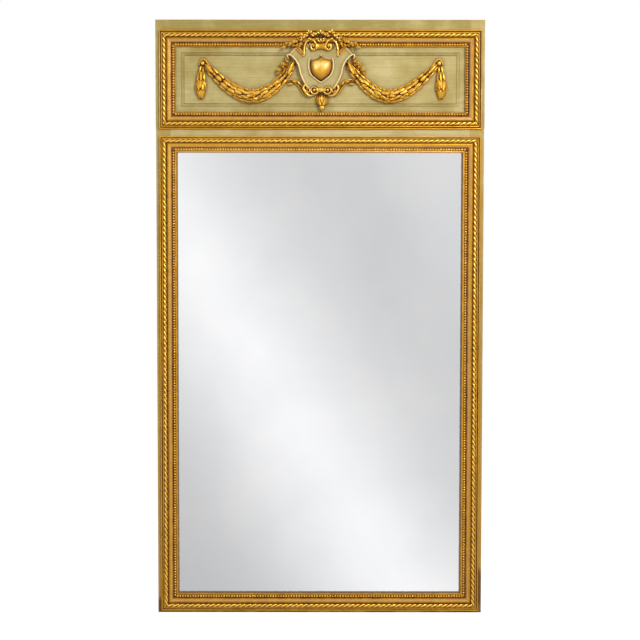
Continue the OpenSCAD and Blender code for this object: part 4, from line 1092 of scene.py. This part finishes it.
def budShape():
    # The pendant bud: two rows of broad pointed sepals round a fat bud, with a ball at its tip
    top, aside = -74, 3
    # The bud's body between the sepals is painted darker, as painted shade
    parts = [placed(deeper(ballShape(8, 16, 10, 0.55), 0.5), (aside, top - 15, 1.5), 0, (1.1, 1.7, 1))]
    for x, spread0, w, z, long in ((-12, 6, 16, 1, 30), (12, -6, 16, 1, 30), (-6.5, 4, 17, 5, 35),
                                   (6.5, -4, 17, 5, 35), (0, 0, 16, 9, 27)):
        parts.append(placed(laurelLeaf(), (x + aside, top, z), -90 + spread0, (long, w, 9),
                            10 if abs(x) < 8 else 2))
    parts.append(placed(ballShape(8.0, 16, 10, 1.0), (aside, top - 38, 7)))
    parts.append(placed(ballShape(2.6, 10, 6), (aside, top - 45.8, 5.5)))
    return joined(parts)


cartoucheLook = {"ground": 13.0, "rise": 5.0, "dish": 2.2}


def cartoucheHalfOutline():
    # The right half of the painted ground, from the top middle round to the bottom middle
    top = [(0, 83), (13, 80), (28, 80), (46, 74), (47, 60), (52.7, 43.2)]
    ear = [(52.7, 43.2), (63, 56), (80.5, 65.5), (91, 58), (96.5, 44.5)]
    side = [(96.5, 44.5), (83.5, 36.6), (72.2, 23.7), (64.0, 8.0), (59.7, -16), (51.5, -35.2), (42.3, -50),
            (34, -60)]
    foot = [(34, -60), (21, -68), (0, -66)]
    return np.vstack([curve(top, 4)[:-1], curve(ear, 4)[:-1], curve(side, 4)[:-1], curve(foot, 3)])


def closedOutline(half):
    left = half[1:-1][::-1] * np.array([-1, 1])
    return np.vstack([half, left])


def insideOf(outline, x, y):
    inside = False
    n = len(outline)
    for i in range(n):
        x1, y1 = outline[i]
        x2, y2 = outline[(i + 1) % n]
        if (y1 > y) != (y2 > y) and x < (x2 - x1) * (y - y1) / (y2 - y1) + x1:
            inside = not inside
    return inside


def edgeDistance(outline, p):
    a = outline
    b = np.roll(outline, -1, axis=0)
    ab = b - a
    t = np.clip(np.sum((p - a) * ab, axis=1) / np.maximum(np.sum(ab * ab, axis=1), 1e-9), 0, 1)
    return float(np.min(np.linalg.norm(p - (a + ab * t[:, None]), axis=1)))


def sheetShape(outline, step, heightOf, low, hollowOf):
    # A board of any outline with a carved face: a fine net of points inside the outline, walls and a flat
    # back
    x0, y0 = outline.min(0)
    x1, y1 = outline.max(0)
    inner = []
    for i, y in enumerate(np.arange(y0 + step / 2, y1, step * 0.87)):
        for x in np.arange(x0 + (step / 2 if i % 2 else 0), x1, step):
            if insideOf(outline, x, y) and edgeDistance(outline, np.array([x, y])) > step * 0.45:
                inner.append((x, y))
    n = len(outline)
    flat = [Vector(p) for p in outline] + [Vector(p) for p in inner]
    verts, _, tris, *_ = delaunay_2d_cdt(flat, [], [list(range(n))], 1, 1e-5)
    flat = np.array([(v.x, v.y) for v in verts])
    distance = [0.0 if i < n else edgeDistance(outline, p) for i, p in enumerate(flat)]
    points = [(x, y, heightOf(x, y, d)) for (x, y), d in zip(flat, distance)]
    hollow = [hollowOf(x, y, d) for (x, y), d in zip(flat, distance)]
    start = len(points)
    points += [(x, y, low) for x, y in outline]
    # The walls are painted fully dark, as painted shade
    hollow += [1.0] * n
    wall = [(i, start + i, start + (i + 1) % n, (i + 1) % n) for i in range(n)]
    return shape(points, tris + wall + [range(start, start + n)], hollow)


def spiralLine(centre, inner, r0, r1, a0, a1, count, z0, z1):
    # A scroll's line: its middle moves from centre to inner as it winds in, and it climbs from z0 to z1
    out = []
    for i in range(count + 1):
        t = i / count
        a = math.radians(a0 + (a1 - a0) * t)
        r = r0 + (r1 - r0) * t ** 0.85
        c = np.array(centre) * (1 - t) + np.array(inner) * t
        out.append((c[0] + r * math.cos(a), c[1] + r * math.sin(a), z0 + (z1 - z0) * t))
    return np.array(out)


def cartoucheField():
    c = cartoucheLook
    outline = closedOutline(cartoucheHalfOutline())

    def sunk(x, y):
        # Inside the scrolls the ground is cut down, and painted dark as painted shade
        top = math.hypot(abs(x) - 30, y - 77)
        foot = math.hypot(abs(x) - 21, y + 60.7)
        return max(0.0, min(1.0, (16 - top) / 3), min(1.0, (13.5 - foot) / 3))

    def heightOf(x, y, d):
        dish = min(d / 22, 1)
        swell = 1.4 * math.exp(-((x / 40) ** 2 + (y / 44) ** 2))
        return c["ground"] - c["dish"] * math.sin(math.pi / 2 * dish) + swell - 5 * sunk(x, y)

    # The ground is painted darker along its edge, as painted shade under the strands
    def hollowOf(x, y, d):
        return max(0.75 * math.exp(-d / 3.2), sunk(x, y))

    return sheetShape(outline, 3.6, heightOf, -0.2, hollowOf)


shieldLook = {"top": 41.5, "foot": -34.5, "wide": 66, "dome": 13}


def shieldOutline(grow=0.0):
    s = shieldLook
    w, top, foot = s["wide"] / 2 + grow, s["top"] + grow, s["foot"] - grow
    crown = [(0, top), (w * 0.16, top - 4.4), (w * 0.42, top - 8.8), (w * 0.72, top - 11),
             (w * 0.95, top - 11.5)]
    side = [(w * 0.95, top - 11.5), (w, 18), (w * 0.99, 5), (w * 0.91, -7), (w * 0.72, -18), (w * 0.40, -28),
            (0, foot)]
    return closedOutline(np.vstack([curve(crown, 4)[:-1], curve(side, 5)]))


def shieldShape():
    s = shieldLook
    outline = shieldOutline()
    ground = cartoucheLook["ground"]

    def heightOf(x, y, d):
        swell = math.sin(math.pi / 2 * min(d / 27, 1)) ** 0.8
        keel = 0.7 * math.exp(-abs(x) / 3.2) * (1 if y > -24 else 0.5)
        lobes = 1.8 * math.exp(-(((abs(x) - 14) / 10) ** 2 + ((y - 15) / 12) ** 2))
        return ground - 1 + s["dome"] * swell + keel * swell + lobes * swell

    # Painted light: the two lobes are painted as highlights, and the foot and the left edge painted darker as
    # shade
    def hollowOf(x, y, d):
        low = 0.28 * max(0.0, min(1.0, (12 - y) / 40)) + 0.30 * math.exp(-(x + 33) / 8)
        lobes = 0.62 * math.exp(-(((abs(x) - 14) / 9) ** 2 + ((y - 15) / 11) ** 2))
        return min(0.72 * math.exp(-d / 8) + low - lobes, 0.72)

    made = sheetShape(outline, 2.6, heightOf, ground - 6, hollowOf)
    finial = placed(ballShape(2.3, 10, 8, 1.0), (0, s["top"] + 2, ground + 4), 0, (1, 1.6, 1))
    return joined([made, finial])


def cartoucheEdges():
    c = cartoucheLook
    rise, g = c["rise"], c["ground"]
    half, strands = [], []
    # Ear: a fluted roll along the top, an edge across its end, a pale strand down the outside, and its hooked
    # tip
    half.append(ribbon(curve([(52.7, 43.0), (58, 50.5), (65, 58.5), (74, 66.5)], 5), [3.0, 4.6, 5.2, 4.6],
                       [rise, rise + 1, rise + 2], "fluted", g - 2))
    end = curve([(75, 66), (82, 59), (89, 52), (97, 45)], 4)
    strands.append(ribbon(end, [2.2, 1.8, 2.2], [rise, rise - 1, rise], "plain", g - 2))
    lower = curve([(98.5, 33), (102, 40), (99.5, 46), (93, 45), (84, 38), (75.5, 28), (68.6, 16), (64.6, 3),
                   (62, -10), (57, -23), (50.5, -36), (43.8, -47.7), (38, -56)], 5)
    strands.append(ribbon(lower, [1.5, 2.6, 2.9, 2.8, 2.6, 2.7, 2.9],
                          [rise, rise + 1, rise, rise, rise + 2], "plain", g - 2))
    # Outer bottom scroll, which leaves the side edge, turns out and runs in under the ring
    foot = curve([(41, -45), (46, -46), (51.5, -49), (53, -55.5), (50, -62), (44.5, -69.5), (38, -75),
                  (30, -77), (22, -75.5)], 5)
    foot = np.column_stack([foot, spread([g - 1, g, g - 1, g - 3, g - 4], len(foot))])
    half.append(ribbon(foot, [2.0, 3.4, 4.0, 4.0, 3.4, 2.0], [rise, rise + 1, rise + 1, rise], "plain", -1))
    curl = spiralLine((40, -63), (40, -62.5), 8.2, 2.6, 60, 420, 26, g - 1, g + 3)
    half.append(ribbon(curl, [2.6, 2.2, 1.6], [rise, rise, rise], "plain", -1))
    # Top scroll, from the notch up and over, and in to its eye
    coil = curve([(52.7, 43.2), (51.3, 50), (51.3, 58), (50.4, 67), (47.6, 77.5), (42.3, 85.6), (33.5, 90.4),
                  (24.6, 89), (18.3, 83), (15.6, 74), (16.4, 65.5), (20.5, 60), (26, 60.5), (29.5, 65),
                  (29.4, 71.5), (25.5, 75.5), (21.5, 74.4), (21, 70.4)], 5)
    coil = np.column_stack([coil, spread([g - 1, g - 1, g, g + 1, g + 3, g + 5, g + 6], len(coil))])
    half.append(ribbon(coil, [2.6, 3.0, 3.2, 3.3, 3.3, 3.2, 2.6, 1.8],
                       [rise, rise, rise + 1, rise + 1, rise, 4.4], "plain", -1))
    half.append(placed(ballShape(3.8, 12, 8), (22.6, 70.5, g + 5)))
    # Bottom ring round its ball
    ring = spiralLine((21, -60.7), (20.4, -60.7), 13.8, 7.0, 170, 560, 44, g, g + 3)
    half.append(ribbon(ring, [2.8, 2.5, 1.6], [rise, rise, rise - 1], "plain", -1))
    half.append(placed(ballShape(4.6, 14, 8), (20.3, -60.8, g + 2)))
    # Oblong berry in the notch
    half.append(placed(ballShape(3.3, 12, 8), (51.8, 43.2, g + 3.5), -50, (1.15, 0.9, 1)))
    right = joined(half)
    middle = []
    bar = [(-16.5, 8), (-15.5, 11.6), (-13.5, 11.4), (-12, 9.6), (-8, 8.8), (0, 8.3), (8, 8.8), (12, 9.6),
           (13.5, 11.4), (15.5, 11.6), (16.5, 8)]
    low = [(-13, 5.0), (-11, 6.6), (-8, 5.6), (-5, 6.2), (0, 6.6), (5, 6.2), (8, 5.6), (11, 6.6), (13, 5.0)]
    for profile, y, z in ((bar, 70, g + 3), (low, -60.8, g + 1.5)):
        points, faces, hollow = latheAcross(profile, (0, y, 0))
        middle.append((points * np.array([1, 1, 0.7]) + np.array([0, 0, z]), faces, hollow))
    middle.append(placed(ballShape(3.4, 12, 8, 0.9), (0, 89.5, g + 4)))
    for side in (-1, 0, 1):
        middle.append(placed(laurelLeaf(), (side * 2, 80, g + 3), 90 - side * 40, (14, 8, 6), 10))
    strand = joined(strands)
    return joined([right, flipped(right)] + middle), joined([strand, flipped(strand)])


def treeOf(pieces):
    verts, faces = [], []
    for piece in pieces:
        start = len(verts)
        verts += [v.co.copy() for v in piece.data.vertices]
        faces += [tuple(i + start for i in p.vertices) for p in piece.data.polygons]
    return BVHTree.FromPolygons(verts, faces)


hollowLook = {"reach": 9.0, "rays": 14, "golden": 2.399963, "off": 0.0004, "carved": 0.9, "closed": 1.1,
              "base": 0.08, "solid": 0.97}


def shadeHollows(pieces):
    # Painted shade: looks out from each point of the carving, and the more of its neighbours close in, the
    # darker its colour is painted, over the bole and dust of its hollows. A point that is quite dark from its
    # making stays so
    h = hollowLook
    tree, rays, reach = treeOf(pieces), h["rays"], h["reach"] * mm
    probes = []
    for k in range(rays):
        z = math.sqrt((k + 0.5) / rays)
        r, a = math.sqrt(1 - z * z), h["golden"] * k
        probes.append(Vector((r * math.cos(a), r * math.sin(a), z)))
    for piece in pieces:
        values = keptValues(piece.data, "hollow")
        for i, v in enumerate(piece.data.vertices):
            turn = v.normal.to_track_quat("Z", "Y")
            start = v.co + v.normal * h["off"]
            found = [tree.ray_cast(start, turn @ p, reach)[3] for p in probes]
            closed = sum(1 - far / reach * 0.6 for far in found if far is not None) / rays
            if values[i] < h["solid"]:
                values[i] = h["carved"] * values[i] + h["closed"] * closed + h["base"]
        keepValues(piece.data, "hollow", values)


scrolls, strands = cartoucheEdges()
rim = ribbon(shieldOutline(4.6)[14:-13], 1.9, 3.6, "plain", cartoucheLook["ground"] - 0.8)
pairs = [
    ("leaf_garland", garlandShape(61), giltWood, "garland"),
    ("husk_drop", dropShape(71), giltWood, "drop"),
    ("rosette", knotShape(), giltBright, "knot"),
    ("flower_spray", crestSprayShape(), giltBright, "crest_spray"),
    ("side_sprig", sideSprayShape(), giltBright, "side_spray"),
    ("acanthus_branch", acanthusShape(), giltBright, "acanthus"),
]
singles = [
    ("blossom_bank", crestShape(), giltBright, "gilt_wood", "crest_flowers"),
    ("hanging_bud", budShape(), giltWood, "gilt_wood", "pendant_bud"),
    ("cartouche_ground", cartoucheField(), paintShield, "painted_wood", "cartouche"),
    ("cartouche_scrolls", scrolls, giltBright, "gilt_wood", "cartouche"),
    ("cartouche_strands", strands, giltPale, "gilt_wood", "cartouche"),
    ("shield_rim", rim, giltPale, "gilt_wood", "cartouche"),
    ("shield_boss", shieldShape(), giltShield, "gilt_wood", "shield"),
]
ornament = [makePiece(f"{name}_{side}", one, material, "gilt_wood", [f"{stem}_{side}"])
            for name, made, material, stem in pairs
            for side, one in (("right", made), ("left", flipped(made)))]
ornament += [makePiece(name, made, material, slotName, [nodeName])
             for name, made, material, slotName, nodeName in singles]
shadeHollows(ornament)
# Painted shade: the ground's darkness is laid into its grime, which browns its paint
ground = bpy.data.meshes["cartouche_ground"]
keepValues(ground, "grime", np.clip(keptValues(ground, "hollow") * 1.1, 0, 0.9))
for holder in (strandForm, beadForm, leafForm, lobedForm, berryForm):
    bpy.data.objects.remove(holder)
print("ornament carved")


# Painted panel

panelLook = {"margin": 16.5, "bead": 11, "quirk": 2.2, "deep": 1.4, "halo": 3.2, "haloDirt": 0.85, "haze": 12,
             "hazeDirt": 0.10, "reach": 30, "most": 0.92,
             "beadDirt": {"top": 0.40, "left": 0.26, "right": 0.10, "foot": 0.24}}


def panelShape():
    # The sunk panel: a plain margin, then a flush bead between two quirks, mitred at the corners, then a field
    p = panelLook
    low, high = mmBox("frieze_panel")
    inner0, inner1, innerLow, innerHigh = ringEdges("frieze", True)
    middleX, middleZ = (inner0 + inner1) / 2, (innerLow + innerHigh) / 2
    halfW, halfH = (inner1 - inner0) / 2, (innerHigh - innerLow) / 2
    a, b = p["margin"], p["margin"] + p["bead"]

    def ticks(half, reach):
        fine = [half - d for d in np.arange(a - 2, b + 3, 0.62)]
        coarse = list(np.arange(0, half - b - 3, 3.0))
        outer = list(np.linspace(half - a + 2.5, half, 6)) + [reach]
        positive = sorted(set(round(float(v), 3) for v in coarse + fine + outer))
        return np.array([-v for v in positive[:0:-1]] + positive)

    xs = ticks(halfW, (high[0] - low[0]) / 2 - abs(middleX))
    ys = ticks(halfH, (high[2] - low[2]) / 2)

    def level(d):
        q = p["quirk"]
        if d <= a or d >= b:
            return 0.0
        if d < a + q:
            return -p["deep"] * math.sin(math.pi * (d - a) / q) ** 0.6
        if d > b - q:
            return -p["deep"] * math.sin(math.pi * (b - d) / q) ** 0.6
        t = (d - a - q) / (b - a - 2 * q)
        return -0.15 - 1.1 * (1 - math.sqrt(max(0.0, 1 - (2 * t - 1) ** 2)))

    points, dirt = [], []
    for y in ys:
        for x in xs:
            d, side = min((halfW - x, "right"), (halfW + x, "left"), (halfH - y, "top"), (halfH + y, "foot"))
            v = level(d)
            points.append((x, y, v))
            # Painted shade: the margin darkens along the moulding, most on the right as its painted shadow,
            # the quirks are darker, and the bead is darker by a share that differs by side
            line = min(1.0, -v / p["deep"]) * (0.45 if d > (a + b) / 2 else 0.20)
            dirt.append((0.95 if side == "right" else 0.6) * math.exp(-max(d, 0) / 3.0) + line
                        + (p["beadDirt"][side] if a < d < b else 0))
    thick = high[1] - low[1]
    return closedGrid(points, dirt, len(xs), lambda x, y, z: (x, y, -thick), 0.0), middleX, middleZ


def soilPanel(piece, near):
    # The panel is painted darker in a soft brown halo round the carving: painted shade
    p = panelLook
    tree = treeOf(near)
    values = keptValues(piece.data, "grime")
    for i, v in enumerate(piece.data.vertices):
        far = tree.find_nearest(v.co, p["reach"] * mm)[3]
        if far is not None:
            values[i] += sum(p[dirt] * math.exp(-far / mm / p[wide])
                             for dirt, wide in (("haloDirt", "halo"), ("hazeDirt", "haze")))
    keepValues(piece.data, "grime", np.clip(values, 0, p["most"]))


panelMade, panelX, panelZ = panelShape()
panelPiece = makePiece("painted_panel", panelMade, paintPanel, "painted_wood", ["frieze_panel"],
                       (panelX, panelZ), sharp=35, attribute="grime")
soilPanel(panelPiece, ornament)
print("panel painted")


# The members, boards and fittings keep the shape of their solids and take their material

dressed = [
    (paintUp, ["stile_left", "stile_right", "frieze_stile_left", "frieze_stile_right"]),
    (paintAcross, ["top_rail", "frieze_bottom_rail"]),
    (paintTop, ["frieze_top_rail"]),
    (paintFoot, ["bottom_rail"]),
    (pineUp, [f"back_board_{i}" for i in range(1, 6)]),
    (pineAcross, ["panel_blocks", "setting_blocks", "glazing_blocks"]),
    (oakUp, ["cleat_left", "cleat_right", "frame_pegs"]),
    (ironWork, ["board_nails", "cleat_screws", "hanger_strap_left", "hanger_strap_right", "hanger_ring_left",
                "hanger_ring_right", "hanger_screws"]),
    (plateGlass, ["mirror_plate"]),
]
for material, nodeNames in dressed:
    for nodeName in nodeNames:
        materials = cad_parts[nodeName].data.materials
        materials.clear()
        materials.append(material)


# Studio

studio = {"distance": 4.2, "height": 0.9, "tilt": 0.05056, "roll": -0.001, "lens": 76.86, "shiftX": 0.00014,
          "shiftY": 0.1108, "slant": 0.62, "shift": 0.42, "shine": 1.15, "fill": 0.42, "floor": 0.93,
          "floorGlow": 1.12, "floorWhite": 0.88}


def setCamera():
    s = studio
    data = bpy.data.cameras.new("camera")
    data.lens, data.sensor_width = s["lens"], 36
    data.shift_x, data.shift_y = s["shiftX"], s["shiftY"]
    camera = bpy.data.objects.new("camera", data)
    camera.location = (0, faceY - s["distance"], s["height"])
    camera.rotation_euler = (math.pi / 2 - s["tilt"], s["roll"], 0)
    scene.collection.objects.link(camera)
    scene.camera = camera


def setWorld():
    # White to the camera. Glossy surfaces see a pale room with one soft bright slant across it, as the plate
    # in the photograph does, and the rest is lit by an even grey
    world = bpy.data.worlds.new("studio")
    scene.world = world
    world.use_nodes = True
    world.node_tree.nodes.clear()
    add = partial(addNode, world.node_tree)
    x, y, z = add(splitNode, (add("ShaderNodeTexCoord", out="Generated"),), None)
    depth = add(mathNode, (add(mathNode, (y,), operation="ABSOLUTE"), 0.05), operation="MAXIMUM")
    aside, up = (add(mathNode, (way, depth), operation="DIVIDE") for way in (x, z))
    slant = add(mathNode, (up, studio["slant"], aside), operation="MULTIPLY_ADD")
    place = add(mathNode, (slant, studio["shift"]), operation="ADD")
    gloom = [(0.18, 0.60), (0.22, 0.64), (0.25, 0.70), (0.28, 0.807), (0.31, 0.945), (0.34, 1.058),
             (0.36, 1.085), (0.38, 1.036), (0.41, 0.915), (0.44, 0.811), (0.48, 0.742), (0.52, 0.745),
             (0.56, 0.808), (0.61, 0.84)]
    shine = studio["shine"]
    room = add(rampNode, (place,), stops=[(at, value / shine) for at, value in gloom])
    fill, mirrored, white = (add("ShaderNodeBackground", pair)
                             for pair in (("F4F6FA", studio["fill"]), (room, shine), ("FFFFFF", 1.0)))
    kind = add("ShaderNodeLightPath", out=None)
    shown = add("ShaderNodeMixShader", (kind["Is Glossy Ray"], fill, mirrored))
    shown = add("ShaderNodeMixShader", (kind["Is Camera Ray"], shown, white))
    add("ShaderNodeOutputWorld", (shown,), None)


def softLamp(name, place, aim, size, power, tint="FFFFFF"):
    data = bpy.data.lights.new(name, "AREA")
    data.shape, data.size, data.size_y = "RECTANGLE", size[0], size[1]
    data.energy = power
    data.color = hexColour(tint)[:3]
    lamp = bpy.data.objects.new(name, data)
    lamp.location = place
    lamp.rotation_euler = (Vector(aim) - Vector(place)).to_track_quat("-Z", "Y").to_euler()
    scene.collection.objects.link(lamp)


def setFloor():
    mesh = bpy.data.meshes.new("floor")
    mesh.from_pydata([(-6, -6, 0), (6, -6, 0), (6, 6, 0), (-6, 6, 0)], [], [(0, 1, 2, 3)])
    floor = bpy.data.objects.new("floor", mesh)
    scene.collection.objects.link(floor)
    material, add, _ = newMaterial("white studio floor")
    lit = add("ShaderNodeBsdfDiffuse", ((studio["floor"],) * 3 + (1,),))
    white = add("ShaderNodeEmission", ("FFFFFF", studio["floorGlow"]))
    seen = add(mathNode, (add("ShaderNodeLightPath", out="Is Camera Ray"), studio["floorWhite"]),
               operation="MULTIPLY")
    add("ShaderNodeOutputMaterial", (add("ShaderNodeMixShader", (seen, lit, white)),), None)
    mesh.materials.append(material)
    floor.visible_glossy = False


setCamera()
setWorld()
softLamp("key", (1.7, -2.6, 2.9), (0, 0, 1.2), (0.9, 0.9), 72, "FFF8EE")
softLamp("fill", (-2.4, -2.8, 1.6), (0, 0, 1.0), (1.6, 1.6), 20)
softLamp("back", (0.6, 2.6, 2.4), (0, 0, 1.0), (2.0, 2.0), 60)
setFloor()
scene.view_settings.view_transform = "Standard"
